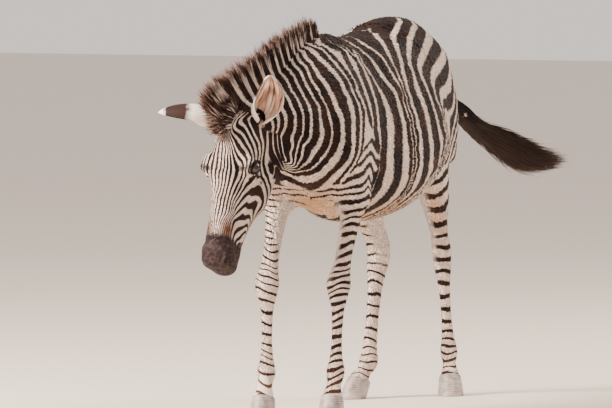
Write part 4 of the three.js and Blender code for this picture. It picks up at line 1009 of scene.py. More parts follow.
def node(tree, kind, links=(), **settings):
    """Adds a node with its settings, and its inputs as numbers or as links from other sockets."""
    made = tree.nodes.new(kind)
    for key, value in settings.items():
        setattr(made, key, value)
    for key, value in dict(links).items():
        socket = made.inputs[key]
        if isinstance(value, bpy.types.NodeSocket):
            tree.links.new(value, socket)
        else:
            socket.default_value = value
    return made


def material(name, roughness, **shader):
    made = bpy.data.materials.new(name)
    made.use_nodes = True
    tree = made.node_tree
    bsdf = tree.nodes["Principled BSDF"]
    bsdf.inputs["Roughness"].default_value = roughness
    for key, value in shader.items():
        bsdf.inputs[key.replace("_", " ")].default_value = value
    return made, tree, bsdf


def carried(tree, key, output="Vector"):
    """What a mesh carries under this name."""
    return node(tree, "ShaderNodeAttribute", attribute_name=key).outputs[output]


def noise(tree, where, scale, detail, output="Fac"):
    links = {"Vector": where, "Scale": scale, "Detail": detail}
    return node(tree, "ShaderNodeTexNoise", links).outputs[output]


def vector_math(tree, operation, *vectors, output=0, **scale):
    links = {**dict(enumerate(vectors)), **scale}
    return node(tree, "ShaderNodeVectorMath", links, operation=operation).outputs[output]


def stretched(tree, value, start, end, high=1.0, **settings):
    """A value laid out from nothing at the start to the high at the end."""
    links = {"Value": value, "From Min": start, "From Max": end, "To Max": high}
    return node(tree, "ShaderNodeMapRange", links, **settings).outputs["Result"]


def mixed(tree, share, first, second):
    """A share of the way from one colour to another."""
    return node(tree, "ShaderNodeMix", {0: share, 6: first, 7: second}, data_type="RGBA").outputs[2]


def ramp(tree, value, first, last, *between):
    """Colours along a value, each as its place and its hex colour."""
    made = node(tree, "ShaderNodeValToRGB", {"Fac": value})
    elements = made.color_ramp.elements
    for number, (place, code) in enumerate((first, last)):
        elements[number].position = place
        elements[number].color = hex_colour(code)
    for place, code in between:
        elements.new(place).color = hex_colour(code)
    return made.outputs[0]


def bumped(tree, bsdf, height, strength, distance):
    links = {"Height": height, "Strength": strength, "Distance": distance}
    tree.links.new(node(tree, "ShaderNodeBump", links).outputs["Normal"], bsdf.inputs["Normal"])


BLACK_HAIR = "#1c1315"
BROWN_HAIR = "#4a2e22"
PALE_HAIR = "#e6d3c8"
# painted light: the tan of warm bounce light from the floor under the belly and chest
BOUNCE_LIT_TAN = "#d8ab80"
MUZZLE_SKIN = "#211718"
NOSE_BROWN = "#5e3a28"
# painted shade: the dark colour of the patch round each eye socket, also used for the small cheek spot
SOCKET_SHADE_AND_SPOT = "#1d1416"
FLECK, WHITE_HAIR, MUZZLE_BLOOM = "#8f7a70", "#e0d2cb", "#5e4a49"
STRIPE_EDGE = 0.045  # half the softness of a stripe's edge, in counts


def striped_colour(tree):
    """The coat's colour from the stripe counts and the tones that a mesh carries, with painted shade round
    the eyes and painted warm bounce light under the belly and chest.
    """
    where = node(tree, "ShaderNodeTexCoord").outputs["Object"]
    half_each = (0.5, 0.5, 0.5)
    ragged = vector_math(tree, "SUBTRACT", noise(tree, where, 170.0, 3.0, "Color"), half_each)
    ragged = vector_math(tree, "SCALE", ragged, Scale=0.16)
    count = vector_math(tree, "ADD", carried(tree, "stripe_count"), ragged)
    wave = vector_math(tree, "SUBTRACT", vector_math(tree, "FRACTION", count), half_each)
    wave = vector_math(tree, "SUBTRACT", vector_math(tree, "ABSOLUTE", wave), half_each)
    wave = vector_math(tree, "ADD", wave, carried(tree, "stripe_half"))
    pale = vector_math(tree, "DOT_PRODUCT", wave, carried(tree, "stripe_share"), output="Value")
    pale = stretched(tree, pale, -STRIPE_EDGE, STRIPE_EDGE, interpolation_type="SMOOTHSTEP")
    tone = node(tree, "ShaderNodeSeparateXYZ", {0: carried(tree, "face_tone_and_socket_shade")}).outputs
    body = node(tree, "ShaderNodeSeparateXYZ", {0: carried(tree, "body_tone_and_bounce")}).outputs

    warm = stretched(tree, noise(tree, where, 14.0, 4.0), 0.4, 0.7, 0.55)
    low = node(tree, "ShaderNodeMath", {0: body["Z"], 1: warm}, operation="MAXIMUM").outputs[0]
    dark_hair = mixed(tree, low, hex_colour(BLACK_HAIR), hex_colour(BROWN_HAIR))
    # painted warm bounce light: the pale hair turns tan under the belly and chest
    pale_hair = mixed(tree, body["Y"], hex_colour(PALE_HAIR), hex_colour(BOUNCE_LIT_TAN))
    flecks = stretched(tree, noise(tree, where, 260.0, 2.0), 0.3, 0.75, 0.16)
    pale_hair = mixed(tree, flecks, pale_hair, hex_colour(FLECK))
    coat = mixed(tree, pale, dark_hair, pale_hair)
    coat = mixed(tree, body["X"], coat, hex_colour(WHITE_HAIR))
    coat = mixed(tree, tone["Y"], coat, hex_colour(NOSE_BROWN))
    bloom = stretched(tree, noise(tree, where, 95.0, 5.0), 0.42, 0.72, 0.45)
    muzzle = mixed(tree, bloom, hex_colour(MUZZLE_SKIN), hex_colour(MUZZLE_BLOOM))
    coat = mixed(tree, tone["X"], coat, muzzle)
    # painted shade round the eyes, and the small dark cheek spot
    coat = mixed(tree, tone["Z"], coat, hex_colour(SOCKET_SHADE_AND_SPOT))
    return coat, where


def hide_material():
    made, tree, bsdf = material("short_zebra_hair", 0.6, Specular_IOR_Level=0.12)
    colour, where = striped_colour(tree)
    tree.links.new(colour, bsdf.inputs["Base Color"])
    lie = carried(tree, "lie")
    run = vector_math(tree, "DOT_PRODUCT", where, lie, output="Value")
    along = vector_math(tree, "SCALE", vector_math(tree, "SCALE", lie, Scale=run), Scale=0.86)
    combed = vector_math(tree, "SUBTRACT", where, along)
    bumped(tree, bsdf, noise(tree, combed, 520.0, 3.0), 0.35, 0.0012)
    return made


def lie_of_coat(p, normal):
    """The way the hair points: back along the trunk, down the legs, off the nose."""
    down, left, back = head_parts(p)
    way = np.tile([0.0, 0.92, -0.32], (len(p), 1))
    leg = smooth(760, 560, p[:, 2])[:, None]
    way = way * (1 - leg) + np.array([0.0, 0.12, -1.0]) * leg
    head = ((p[:, 1] < -90) * smooth(0, 80, down))[:, None]
    way = way * (1 - head) + (-DOWN_FACE * 0.8 - OUT_OF_FACE * 0.5) * head
    way = way - normal * (way * normal).sum(1, keepdims=True)
    return unit(way)


skin_normal = normals(skin, skin_faces)
hide_count, hide_half, hide_share = markings(skin)
face_tone_and_socket_shade, body_tone_and_bounce = tones(skin, skin_normal)
lie = lie_of_coat(skin, skin_normal)
hide = mesh_piece("hide", skin, skin_faces, [
    ("stripe_count", hide_count), ("stripe_half", hide_half), ("stripe_share", hide_share),
    ("face_tone_and_socket_shade", face_tone_and_socket_shade), ("body_tone_and_bounce", body_tone_and_bounce), ("lie", lie)])
hide.data.materials.append(hide_material())
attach(hide, "root")
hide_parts("shoulders", "barrel", "rump", "neck", "head", "muzzle", "tail_dock",
            *[f"{leg}_{part}" for leg in LEGS for part in ("upper", "cannon", "pastern")])


# ---- Eyes ----
# Large dark eyes set in the sides of the head: a wet clear front over a brown iris with a wide,
# level pupil. Each ball sits in its socket under the lids.
EYE_RINGS, EYE_SPOKES = 28, 48
EYE_CLEARANCE = 0.25  # mm between the ball and its socket


def facing_out(points, faces):
    """The faces of a closed mesh, turned round if they face in."""
    a, b, c = (points[faces[:, n]] for n in range(3))
    inward = (np.cross(b - a, c - a) * a).sum() < 0
    return faces[:, ::-1] if inward else faces


def eyeball(name, side):
    middle = on_head(EYE_DOWN, side * EYE_SIDE, EYE_BACK)
    outward, along, upward = eye_directions(side)
    gaze, faces = [], []
    for r in range(1, EYE_RINGS):
        polar = math.pi * r / EYE_RINGS
        for s in range(EYE_SPOKES):
            turn = 2 * math.pi * s / EYE_SPOKES
            wide = math.sin(polar)
            gaze.append((wide * math.cos(turn), wide * math.sin(turn), math.cos(polar)))
    gaze = np.array([*gaze, (0, 0, 1), (0, 0, -1)])
    radius = EYE_RADIUS - EYE_CLEARANCE
    points = radius * (gaze[:, :1] * along + gaze[:, 1:2] * upward + gaze[:, 2:] * outward)
    rows = (EYE_RINGS - 1) * EYE_SPOKES
    for s in range(EYE_SPOKES):
        n = (s + 1) % EYE_SPOKES
        faces.append((rows, s, n))
        faces.append((rows + 1, rows - EYE_SPOKES + n, rows - EYE_SPOKES + s))
        for r in range(EYE_RINGS - 2):
            a, b = r * EYE_SPOKES + s, r * EYE_SPOKES + n
            faces += [(a, a + EYE_SPOKES, b), (b, a + EYE_SPOKES, b + EYE_SPOKES)]
    faces = facing_out(points, np.array(faces))
    points = points + middle
    piece = mesh_piece(f"{name}_ball", points, faces, [("gaze", gaze)])
    piece.data.materials.append(wet_eye)
    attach(piece, "root")
    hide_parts(name)


wet_eye, tree, bsdf = material("wet_brown_eye", 0.06, IOR=1.38, Coat_Weight=0.6, Coat_Roughness=0.03)
gaze = carried(tree, "gaze")
round_pupil = vector_math(tree, "MULTIPLY", gaze, (1.55, 3.0, 0.0))
pupil = vector_math(tree, "LENGTH", round_pupil, output="Value")
iris_edge = vector_math(tree, "MULTIPLY", gaze, (1.0, 1.0, 0.0))
iris_edge = vector_math(tree, "LENGTH", iris_edge, output="Value")
iris = ramp(tree, noise(tree, gaze, 9.0, 5.0), (0.0, "#1a0e0a"), (1.0, "#4a2c1c"))
inside = stretched(tree, pupil, 0.85, 1.05)
rim_range = {"Value": iris_edge, "From Min": 0.8, "From Max": 0.9, "To Min": 1.0, "To Max": 0.25}
outside = node(tree, "ShaderNodeMapRange", rim_range).outputs["Result"]
depth = node(tree, "ShaderNodeMath", {0: inside, 1: outside}, operation="MULTIPLY").outputs[0]
tree.links.new(mixed(tree, depth, hex_colour("#050304"), iris), bsdf.inputs["Base Color"])
eyeball("eye_left", 1)
eyeball("eye_right", -1)


# ---- Ears ----
# Upright leaves of thin cartilage under short hair, rolled into a stalk at the base and open
# above. The left ear's opening turns to the front, the right ear is laid out to the side.
# base, way of the tip, way of the opening, how far it bows to a side
EARS = {
    "ear_left": (on_head(36, 58, 94), (0.4, -0.44, 0.8), (0.55, -0.83, 0), 20),
    "ear_right": (on_head(32, -66, 50), (-0.93, -0.35, 0.09), (-0.1, 0.1, -0.99), 0),
}
EAR_LENGTH, EAR_WIDTH, EAR_WALL = 200, 100, 4.2
EAR_RINGS, EAR_ARC = 44, 22


def closed_rings(rows, ring):
    """Joins rings of places, each to the next, and closes both ends on a place in their middle."""
    last = len(rows) - ring
    faces = []
    for start in range(0, last, ring):
        for i in range(ring):
            a, b = start + i, start + (i + 1) % ring
            faces += [(a, b, b + ring), (a, b + ring, a + ring)]
    for end in (0, last):
        for i in range(ring):
            pair = (end + i, end + (i + 1) % ring)
            faces.append((len(rows), *(pair if end else pair[::-1])))
        rows = np.vstack([rows, rows[end:end + ring].mean(0)])
    return rows, np.array(faces)


def ear_shell(base, tip, opening, bow):
    """An ear's places and faces, and how far along, across and inside its wall each place is."""
    lengthwise = unit(tip)
    outward = unit(np.array(opening) - lengthwise * (np.array(opening) @ lengthwise))
    across = np.cross(lengthwise, outward)
    points, place = [], []
    for r in range(EAR_RINGS + 1):
        share = r / EAR_RINGS
        bulge = math.sin(math.pi * min(share * 0.88 + 0.12, 1)) ** 0.62
        half = max(EAR_WIDTH / 2 * bulge - 1.2, 1.4)
        wall = min(EAR_WALL, half * 0.5) * (1 + 1.2 * float(smooth(0.3, 0.05, share)))
        opened = float(smooth(0.12, 0.45, share))
        sweep = math.pi * (0.92 * (1 - opened) + 0.56 * opened)
        middle = np.array(base) + lengthwise * share * (EAR_LENGTH - 2)
        middle = middle + across * bow * math.sin(math.pi * share)
        for wallside in (0, 1):
            for i in range(EAR_ARC + 1):
                f = (-1 + 2 * i / EAR_ARC) * (-1 if wallside else 1)
                edge = abs(f) ** 8
                size = half - (wall - 0.35 * wall * edge if wallside else 0.35 * wall * edge)
                angle, curl = f * sweep, 1 + 0.06 * edge
                points.append(middle + across * size * math.sin(angle) * curl
                              - outward * size * math.cos(angle) * 0.8)
                place.append((share, f, float(wallside)))
    rows, faces = closed_rings(np.hstack([points, place]), 2 * (EAR_ARC + 1))
    return rows[:, :3], facing_out(rows[:, :3], faces), rows[:, 3:]


ear_hair, tree, bsdf = material("ear_hair", 0.7, Specular_IOR_Level=0.15)
spot = carried(tree, "ear_place")
parts = node(tree, "ShaderNodeSeparateXYZ", {0: spot}).outputs
where = node(tree, "ShaderNodeTexCoord").outputs["Object"]
band_links = {0: noise(tree, where, 60.0, 4.0), 1: 0.12, 2: parts["X"]}
band_place = node(tree, "ShaderNodeMath", band_links, operation="MULTIPLY_ADD").outputs[0]
bands = ramp(tree, band_place, (0.0, "#a8704c"), (1.0, "#efe6e0"), (0.26, "#e9ddd5"), (0.5, "#e6dad4"),
             (0.6, "#33211d"), (0.93, "#2a1b19"), (0.98, "#efe6e0"))
# the inner wall: pale hair, streaked dark with painted shade where its inner folds would be
fold_shade = noise(tree, vector_math(tree, "MULTIPLY", spot, (1.6, 4.5, 1.0)), 1.6, 4.0)
inner = ramp(tree, fold_shade, (0.34, "#5a3c34"), (0.62, "#eedccf"), (0.46, "#c09884"))
tree.links.new(mixed(tree, parts["Z"], bands, inner), bsdf.inputs["Base Color"])
bumped(tree, bsdf, noise(tree, where, 420.0, 3.0), 0.3, 0.001)
for name, ear in EARS.items():
    points, faces, place = ear_shell(*ear)
    piece = mesh_piece(f"{name}_leaf", points, faces, [("ear_place", place)])
    piece.data.materials.append(ear_hair)
    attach(piece, "root")
    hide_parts(name)


# ---- Hooves ----
# Walls of grey horn with faint growth rings, worn flat underneath, under the hair of the coronet.
HOOF_SIDES, HOOF_RINGS = 48, 22
# share of the height, then the half width, the reach to the toe and to the heel there
HOOF_SHAPE = ([0, 0.06, 0.12, 0.62, 1], [42, 43.6, 43.8, 40, 36.5],
              [51, 51.9, 51.6, 45, 39.5], [39.6, 40.6, 40.8, 40, 39])


def hoof_mesh(left, toe_out, joints):
    ahead = leg_ahead(left, toe_out)
    aside = -np.cross(ahead, UP)
    sole, top = np.array(joints[4], float) + ahead * 8, np.array(joints[3], float)
    slope_way = UP - ahead * 0.34
    slope_way = slope_way / slope_way[2]
    points = []
    heights, sides, toes, heels = HOOF_SHAPE
    for r in range(HOOF_RINGS + 1):
        share = r / HOOF_RINGS
        side, toe, heel = (np.interp(share, heights, row) for row in (sides, toes, heels))
        ripple = 0.5 * math.sin(share * 34) * min(share * 5, 1) * min((1 - share) * 5, 1)
        for i in range(HOOF_SIDES):
            turn = 2 * math.pi * i / HOOF_SIDES
            toeward = math.cos(turn)
            length = (toe + ripple) * toeward if toeward > 0 else -(heel + ripple) * abs(toeward) ** 0.7
            middle = sole + (top - sole) * share
            narrowed = 1 - 0.12 * max(-toeward, 0)
            point = middle + ahead * length + aside * (side + ripple) * math.sin(turn) * narrowed
            offset = point - middle
            point[2] -= (slope_way @ offset) * share
            points.append(point)
    points, faces = closed_rings(np.array(points), HOOF_SIDES)
    return points, facing_out(points, faces)


horn, tree, bsdf = material("grey_hoof_horn", 0.5)
where = node(tree, "ShaderNodeTexCoord").outputs["Object"]
ring_links = {"Vector": where, "Scale": 55.0, "Distortion": 3.0, "Detail": 3.0}
rings = node(tree, "ShaderNodeTexWave", ring_links, bands_direction="Z").outputs["Fac"]
tint_links = {0: rings, 1: 0.25, 2: noise(tree, where, 38.0, 5.0)}
tint = node(tree, "ShaderNodeMath", tint_links, operation="MULTIPLY_ADD").outputs[0]
tree.links.new(ramp(tree, tint, (0.3, "#5d504d"), (0.8, "#b8aaa4")), bsdf.inputs["Base Color"])
bumped(tree, bsdf, rings, 0.25, 0.001)
for name, (left, toe_out, _, joints) in LEGS.items():
    points, faces = hoof_mesh(left, toe_out, joints)
    piece = mesh_piece(f"{name}_hoof_wall", points, faces)
    piece.data.materials.append(horn)
    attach(piece, "root")
    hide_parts(f"{name}_hoof")


# ---- Mane ----
# Short stiff hair standing on the crest in one thick row, striped as the neck is, with rusty
# tips. It leans forward toward the head and ends as the forelock between the ears.
CREST = [(-14, 226, 1216), (-28, 150, 1186), (-50, 66, 1148), (-76, -18, 1110), (-108, -104, 1070),
         (-136, -186, 1040), (-150, -246, 1012), tuple(on_head(66, -2, 12))]
MANE_HAIRS, FORELOCK_HAIRS = 6200, 1300
BAKE_PATCH = 0.003  # the size of each hair's patch on the map that its colours are baked to
rng = np.random.default_rng(7)


def hair_piece(name, paths, widths, flatness, side_way, attributes, bake, finish):
    """Solid hairs or locks: paths (hairs, places, 3), widths (hairs, places), each ends in a point."""
    count, places = paths.shape[:2]
    run = unit(np.gradient(paths, axis=1))
    across = unit(np.cross(run, side_way[:, None] + 0 * run))
    over = np.cross(run, across)
    turns = np.array([0, 2 * math.pi / 3, 4 * math.pi / 3]) + math.pi / 2
    ring = paths[:, :-1, None] + widths[:, :-1, None, None] * 0.5 * (
        across[:, :-1, None] * np.cos(turns)[:, None]
        + over[:, :-1, None] * np.sin(turns)[:, None] * flatness)
    points = np.concatenate([ring.reshape(count, -1, 3), paths[:, -1:]], 1)
    size = points.shape[1]
    faces = [(0, 2, 1)]
    for k in range(places - 2):
        for i in range(3):
            a, b = 3 * k + i, 3 * k + (i + 1) % 3
            faces += [(a, b, b + 3), (a, b + 3, a + 3)]
    last = 3 * (places - 2)
    faces += [(last + i, last + (i + 1) % 3, size - 1) for i in range(3)]
    share = np.concatenate([np.repeat(np.linspace(0, 1, places)[:-1], 3), [1.0]])
    patch = np.column_stack([np.tile([-0.5, 0.0, 0.5], places)[:size], share - 0.5]) * BAKE_PATCH
    uv = (bake[:, None] + patch[np.array(faces).ravel()]).reshape(-1, 2)
    faces = (np.array(faces)[None] + size * np.arange(count)[:, None, None]).reshape(-1, 3)
    layers = [("hair_share", np.tile(share, count))]
    for key, values in attributes:
        if np.ndim(values) == 3:  # one value at each place of each hair
            values = np.concatenate([np.repeat(values[:, :-1], 3, 1), values[:, -1:]], 1).reshape(-1, 3)
        else:
            values = np.repeat(values, size, 0)
        layers.append((key, values))
    piece = mesh_piece(name, points.reshape(-1, 3), faces, layers, uv)
    piece.data.materials.append(finish)
    return piece


def line_places(drawn, shares, samples):
    """Places and directions at shares of a smooth line through drawn places."""
    even = np.linspace(0, 1, samples)
    line = np.array([smooth_place(drawn, s * (len(drawn) - 1)) for s in even])
    run = unit(np.gradient(line, axis=0))
    pick = lambda rows: np.stack([np.interp(shares, even, rows[:, a]) for a in range(3)], -1)
    return pick(line), unit(pick(run))


share = np.sort(rng.uniform(0, 1, MANE_HAIRS) ** 0.85)
root, run = line_places(CREST, share, 161)
forward = share[:, None] ** 1.6
lean = unit(np.array([-0.06, -0.22, 0.96]) * (1 - forward) + np.array([-0.34, -0.8, 0.5]) * forward)
aside = unit(np.cross(run, lean))
off = rng.uniform(-1, 1, MANE_HAIRS)
swell = 0.56 + 0.44 * np.sin(math.pi * np.minimum(share, 0.8) ** 0.75) ** 0.8 + 0.34 * smooth(0.5, 1.0, share)
clump = np.sin(share * 150 + 2 * np.sin(share * 37)) * 0.5 + 0.5
length = (150 * swell + 16) * (0.86 + 0.1 * clump) * rng.uniform(0.74, 1.0, MANE_HAIRS)
length = length * (1 - 0.16 * np.abs(off) ** 2)
thin = np.sin(math.pi * np.clip(share, 0.06, 0.94)) ** 0.4
steps = np.linspace(0, 1, 5)
drift = rng.normal(0, 1, (MANE_HAIRS, 3)) * 6
clump_pull = (np.round(share * 60) / 60 - share) * 330
paths = (root[:, None] + lean[:, None] * (length[:, None] * steps)[..., None]
         + aside[:, None] * (off * thin)[:, None, None] * (20 - 13 * steps)[:, None]
         + run[:, None] * (clump_pull[:, None] * steps**2)[..., None]
         + drift[:, None] * (steps**2)[:, None])
widths = rng.uniform(3.4, 5.2, MANE_HAIRS)[:, None] * (1 - 0.55 * steps)
surface = root + lean * 18 + aside * (off * 16)[:, None]
m_count, m_half, m_share = markings(surface)
front = smooth(0.6, 0.92, share)
m_half = m_half * (1 - 0.8 * smooth(0.78, 0.95, share))[:, None]

# the forelock, standing out between the ears and falling a little over the brow
place = rng.uniform(0, 1, (FORELOCK_HAIRS, 2))
f_down, f_left = 4 + 70 * place[:, 0], (place[:, 1] * 2 - 1) * (26 - 11 * place[:, 0])
f_root = from_head(np.stack([f_down, f_left, 14 + 0.3 * np.abs(f_left)], 1))
f_lean = unit(OUT_OF_FACE * 0.75 - DOWN_FACE * (0.55 - 0.8 * place[:, :1])
              + HEAD_LEFT * (f_left[:, None] / 60 - 0.35))
f_length = 104 * rng.uniform(0.6, 1.0, FORELOCK_HAIRS) * (1 - 0.3 * place[:, 0])
f_paths = (f_root[:, None] + f_lean[:, None] * (f_length[:, None] * steps)[..., None]
           + DOWN_FACE * (f_length[:, None] * 0.2 * steps**2)[..., None]
           + rng.normal(0, 6, (FORELOCK_HAIRS, 1, 3)) * (steps**2)[:, None])
paths = np.concatenate([paths, f_paths])
widths = np.concatenate([widths, rng.uniform(3.0, 4.8, FORELOCK_HAIRS)[:, None] * (1 - 0.6 * steps)])
f_count, f_half, f_share = markings(f_root)
m_count, m_share = np.concatenate([m_count, f_count]), np.concatenate([m_share, f_share])
m_half = np.concatenate([m_half, f_half * 0.35])
aside = np.concatenate([aside, np.tile(HEAD_LEFT, (FORELOCK_HAIRS, 1))])
front = np.concatenate([front * 0.7, np.full(FORELOCK_HAIRS, 0.35)])
zero = np.zeros((len(front), 3))
brown = np.stack([0 * front, 0 * front, front], 1)
share = np.concatenate([share, 0.9 + 0.1 * place[:, 0]])
off = np.concatenate([off, place[:, 1] * 2 - 1])

mane_hair, tree, bsdf = material("striped_mane_hair", 0.6, Specular_IOR_Level=0.2)
colour, _ = striped_colour(tree)
rust = stretched(tree, carried(tree, "hair_share", "Fac"), 0.66, 1.0, interpolation_type="SMOOTHSTEP")
tree.links.new(mixed(tree, rust, colour, hex_colour("#4a2a1f")), bsdf.inputs["Base Color"])
mane = hair_piece("mane_hair", paths, widths, 0.8, aside, [
    ("stripe_count", m_count), ("stripe_half", m_half), ("stripe_share", m_share),
    ("face_tone_and_socket_shade", zero), ("body_tone_and_bounce", brown)],
    np.stack([0.02 + 0.96 * share, 0.5 + 0.46 * off], 1), mane_hair)
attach(mane, "root")
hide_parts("mane")


# ---- Tail tuft ----
# Long wavy black hair from the last third of the dock, blown out to the animal's left, with
# brown ends. The dock above it wears the short coat.
TUFT_LINE = [(22, 1262, 1040), (84, 1336, 966), (128, 1372, 910), (215, 1412, 850),
             (312, 1466, 796), (424, 1545, 792)]
TUFT_HAIRS = 3600
start = rng.uniform(0, 1, TUFT_HAIRS) ** 1.1 * 0.6
turn, out = rng.uniform(0, 2 * math.pi, TUFT_HAIRS), np.sqrt(rng.uniform(0, 1, TUFT_HAIRS))
end = rng.uniform(0.55, 1.0, TUFT_HAIRS) * (1 - 0.3 * (out * np.abs(np.sin(turn))) ** 2)
steps = np.linspace(0, 1, 8)
t = start[:, None] + (end - start)[:, None] * steps
middle, way = line_places(TUFT_LINE, t, 121)
across = unit(np.cross(way, UP))
upward = np.cross(across, way)
half = np.interp(t, [0, 0.2, 0.42, 0.6, 0.78, 0.9, 1], [24, 24, 26, 46, 66, 64, 44])
spread = half * (0.62 + 0.38 * smooth(0, 0.3, t - start[:, None] + 0.05))
wave = np.sin(t * 13 + turn[:, None] * 3) * 4 * smooth(0, 0.5, steps)
wave = wave + rng.normal(0, 1, (TUFT_HAIRS, 1)) * 7 * steps
paths = (middle + upward * ((out * np.sin(turn))[:, None] * spread + wave)[..., None]
         + across * ((out * np.cos(turn))[:, None] * spread * 0.42 + wave * 0.5)[..., None])
widths = rng.uniform(3.2, 5.4, TUFT_HAIRS)[:, None] * (1 - 0.5 * steps)
tail_hair, tree, bsdf = material("black_tail_hair", 0.5, Specular_IOR_Level=0.3)
where = node(tree, "ShaderNodeTexCoord").outputs["Object"]
tip_links = {0: noise(tree, where, 34.0, 3.0), 1: 0.5, 2: carried(tree, "hair_share", "Fac")}
tip = node(tree, "ShaderNodeMath", tip_links, operation="MULTIPLY_ADD").outputs[0]
colour = ramp(tree, tip, (0.55, "#141112"), (1.25 / 1.5, "#3f2f29"))
tree.links.new(colour, bsdf.inputs["Base Color"])
tuft = hair_piece("tail_hair", paths, widths, 0.8, np.tile(UP, (TUFT_HAIRS, 1)), [],
                  np.stack([0.02 + 0.96 * turn / (2 * math.pi), 0.02 + 0.96 * out], 1), tail_hair)
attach(tuft, "root")
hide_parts("tail_tuft")


# ---- Coat ----
# Short glossy hair lying back along the trunk and down the legs, in thin flat locks over the
# skin, shortest on the face and feet. Each lock wears the stripes of the skin under it.
TUFTS, COAT_PIECES = 102000, 6
LOCK_LENGTH, LOCK_WIDTH = 14.0, 4.4  # mm, on the trunk
THIGH_START = 600  # the coat of the hind legs begins at this y
rng = np.random.default_rng(11)


def bake_place(p):
    """Each root's place on an unwrap of the hide: legs and head side by side, the trunk above."""
    down, left, back = head_parts(p)
    turn = lambda y, x: np.arctan2(y, x) / (2 * math.pi) + 0.5
    middle = np.interp(p[:, 1], *NECK_MIDDLE)
    place = np.stack([0.02 + 0.96 * np.clip((p[:, 1] + 470) / 1900, 0, 1),
                      0.52 + 0.46 * turn(p[:, 0] - middle, p[:, 2] - 940)], 1)
    head = (p[:, 1] < -60) & (down > 0)
    on_brow = np.stack([0.52 + 0.46 * turn(left, back - 70),
                        0.02 + 0.46 * np.clip(down / 600, 0, 1)], 1)
    place[head] = on_brow[head]
    for number, name in enumerate(LEGS):
        own = beside_leg(name, p, THIGH_START) & (p[:, 2] < 720) & ~head
        off = p[:, :2] - leg_axis(name, p[:, 2])
        on_leg = np.stack([0.02 + 0.12 * number + 0.1 * turn(off[:, 0], off[:, 1]),
                           0.02 + 0.46 * np.clip(p[:, 2] / 720, 0, 1)], 1)
        place[own] = on_leg[own]
    return place


corners = skin[skin_faces]
middle = corners.mean(1)
down, left, back = head_parts(middle)
on_face = smooth(0, 90, down) * (middle[:, 1] < -60) * (np.abs(left) < 140)
on_leg = smooth(620, 480, middle[:, 2]) * (1 - (on_face > 0))
weight = np.linalg.norm(np.cross(corners[:, 1] - corners[:, 0], corners[:, 2] - corners[:, 0]), axis=1)
weight = weight * (1 + 2.2 * on_face + 1.0 * on_leg)
bare = (on_face > 0) & (down > 448)
for name, leg in LEGS.items():
    bare |= beside_leg(name, middle, THIGH_START) & (middle[:, 2] < leg[3][3][2] + 1)
for side in (1, -1):
    bare |= np.linalg.norm(middle - on_head(EYE_DOWN, side * EYE_SIDE, EYE_BACK), axis=1) < 31
weight[bare] = 0
total = np.cumsum(weight)
pick = np.searchsorted(total, rng.uniform(0, total[-1], TUFTS))
pick = pick[np.argsort(middle[pick, 1], kind="stable")]
part = rng.uniform(0, 1, (TUFTS, 2))
part = np.where(part.sum(1, keepdims=True) > 1, 1 - part, part)
part = np.column_stack([1 - part.sum(1), part])
at_root = lambda values: (values[skin_faces[pick]] * part[..., None]).sum(1)
root, out, way = at_root(skin), unit(at_root(skin_normal)), unit(at_root(lie))
way = unit(way + np.cross(out, way) * rng.normal(0, 0.13, (TUFTS, 1)))
short = 1 - 0.56 * on_face[pick] - 0.36 * on_leg[pick]
length = LOCK_LENGTH * short * rng.uniform(0.75, 1.15, TUFTS)
rise = rng.uniform(0.13, 0.24, TUFTS)
paths = (root[:, None] + way[:, None] * (length[:, None] * np.array([0, 0.5, 1.0]))[..., None]
         + out[:, None] * (length[:, None] * rise[:, None] * np.array([-0.25, 0.68, 0.9]))[..., None])
widths = LOCK_WIDTH * short[:, None] * np.array([0.9, 1.0, 0.4])
ends = markings(root + way * length[:, None] * 0.8)
marks = []
begins = (hide_count, hide_half, hide_share)
for key, begin, end in zip(("stripe_count", "stripe_half", "stripe_share"), begins, ends):
    begin = at_root(begin)
    marks.append((key, np.stack([begin, (begin + end) / 2, end], 1)))
marks += [("face_tone_and_socket_shade", at_root(face_tone_and_socket_shade)), ("body_tone_and_bounce", at_root(body_tone_and_bounce))]
bake = bake_place(root)
short_hair, tree, bsdf = material("lying_coat_hair", 0.62, Specular_IOR_Level=0.12)
colour, _ = striped_colour(tree)
tree.links.new(colour, bsdf.inputs["Base Color"])
for number in range(COAT_PIECES):
    rows = slice(number * TUFTS // COAT_PIECES, (number + 1) * TUFTS // COAT_PIECES)
    locks = hair_piece(f"coat_locks_{number + 1}", paths[rows], widths[rows], 0.22, out[rows],
                       [(key, values[rows]) for key, values in marks], bake[rows], short_hair)
    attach(locks, "root")


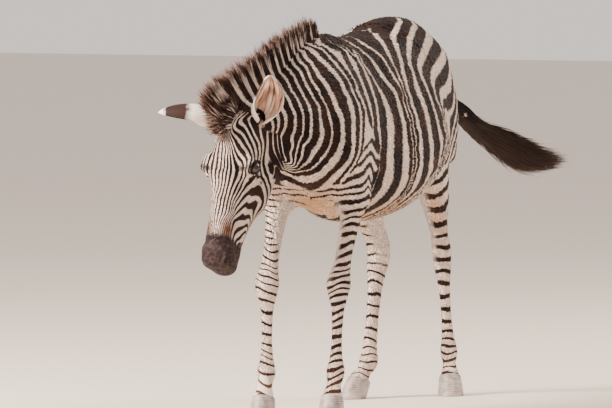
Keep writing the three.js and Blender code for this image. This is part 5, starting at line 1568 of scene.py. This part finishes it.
# ---- Floor, light and camera ----
# A pale floor, one large soft light from the front left and the sky's even light round it.
FLOOR_HALF = 30
floor_mesh = bpy.data.meshes.new("floor")
floor_corners = [(x * FLOOR_HALF, y * FLOOR_HALF, 0) for x, y in ((-1, -1), (1, -1), (1, 1), (-1, 1))]
floor_mesh.from_pydata(floor_corners, [], [(0, 1, 2, 3)])
floor = bpy.data.objects.new("floor", floor_mesh)
bpy.context.scene.collection.objects.link(floor)
pale_floor, tree, bsdf = material("pale_floor", 0.9, Base_Color=hex_colour("#e2d6ca"))
floor_mesh.materials.append(pale_floor)

world = bpy.data.worlds.new("studio")
world.use_nodes = True
world.node_tree.nodes["Background"].inputs["Color"].default_value = hex_colour("#efe6e0")
world.node_tree.nodes["Background"].inputs["Strength"].default_value = 1.15
bpy.context.scene.world = world


def soft_light(name, place, aim, size, power, colour):
    light = bpy.data.lights.new(name, "AREA")
    light.shape = "DISK"
    light.size, light.energy, light.color = size, power, hex_colour(colour)[:3]
    lamp = bpy.data.objects.new(name, light)
    lamp.location = place
    lamp.rotation_euler = Vector(np.array(aim) - np.array(place)).to_track_quat("-Z", "Y").to_euler()
    bpy.context.scene.collection.objects.link(lamp)


soft_light("key", (-4.2, -4.0, 4.2), (0, 0, 0.8), 2.4, 1500, "#fff2e2")
soft_light("rim", (3.6, 4.5, 4.6), (0, 0, 0.8), 3.0, 500, "#fff1e0")

AZIMUTH_WAY = np.array([0.350, -0.9367, 0])
ELEVATION = math.radians(2.9)
DISTANCE = 35.0
IMAGE_WIDTH, PIXELS_TO_A_METRE = 612, 297
SENSOR = 36.0
AIM_RIGHT, AIM_UP, AIM_BEHIND = 0.02525, 0.7037, 0.55  # from the animal's zero, in metres
toward = AZIMUTH_WAY * math.cos(ELEVATION) + np.array([0, 0, math.sin(ELEVATION)])
right = np.array([0.9367, 0.350, 0])
up = np.cross(toward, right)
target = AIM_RIGHT * right + AIM_UP * up - AIM_BEHIND * toward + ORIGIN
camera_data = bpy.data.cameras.new("camera")
camera_data.sensor_width = SENSOR
camera_data.lens = SENSOR * PIXELS_TO_A_METRE * DISTANCE / IMAGE_WIDTH
camera_data.clip_end = 120.0
camera = bpy.data.objects.new("camera", camera_data)
camera.location = target + toward * DISTANCE
camera.rotation_euler = Vector(-toward).to_track_quat("-Z", "Y").to_euler()
bpy.context.scene.collection.objects.link(camera)
bpy.context.scene.camera = camera

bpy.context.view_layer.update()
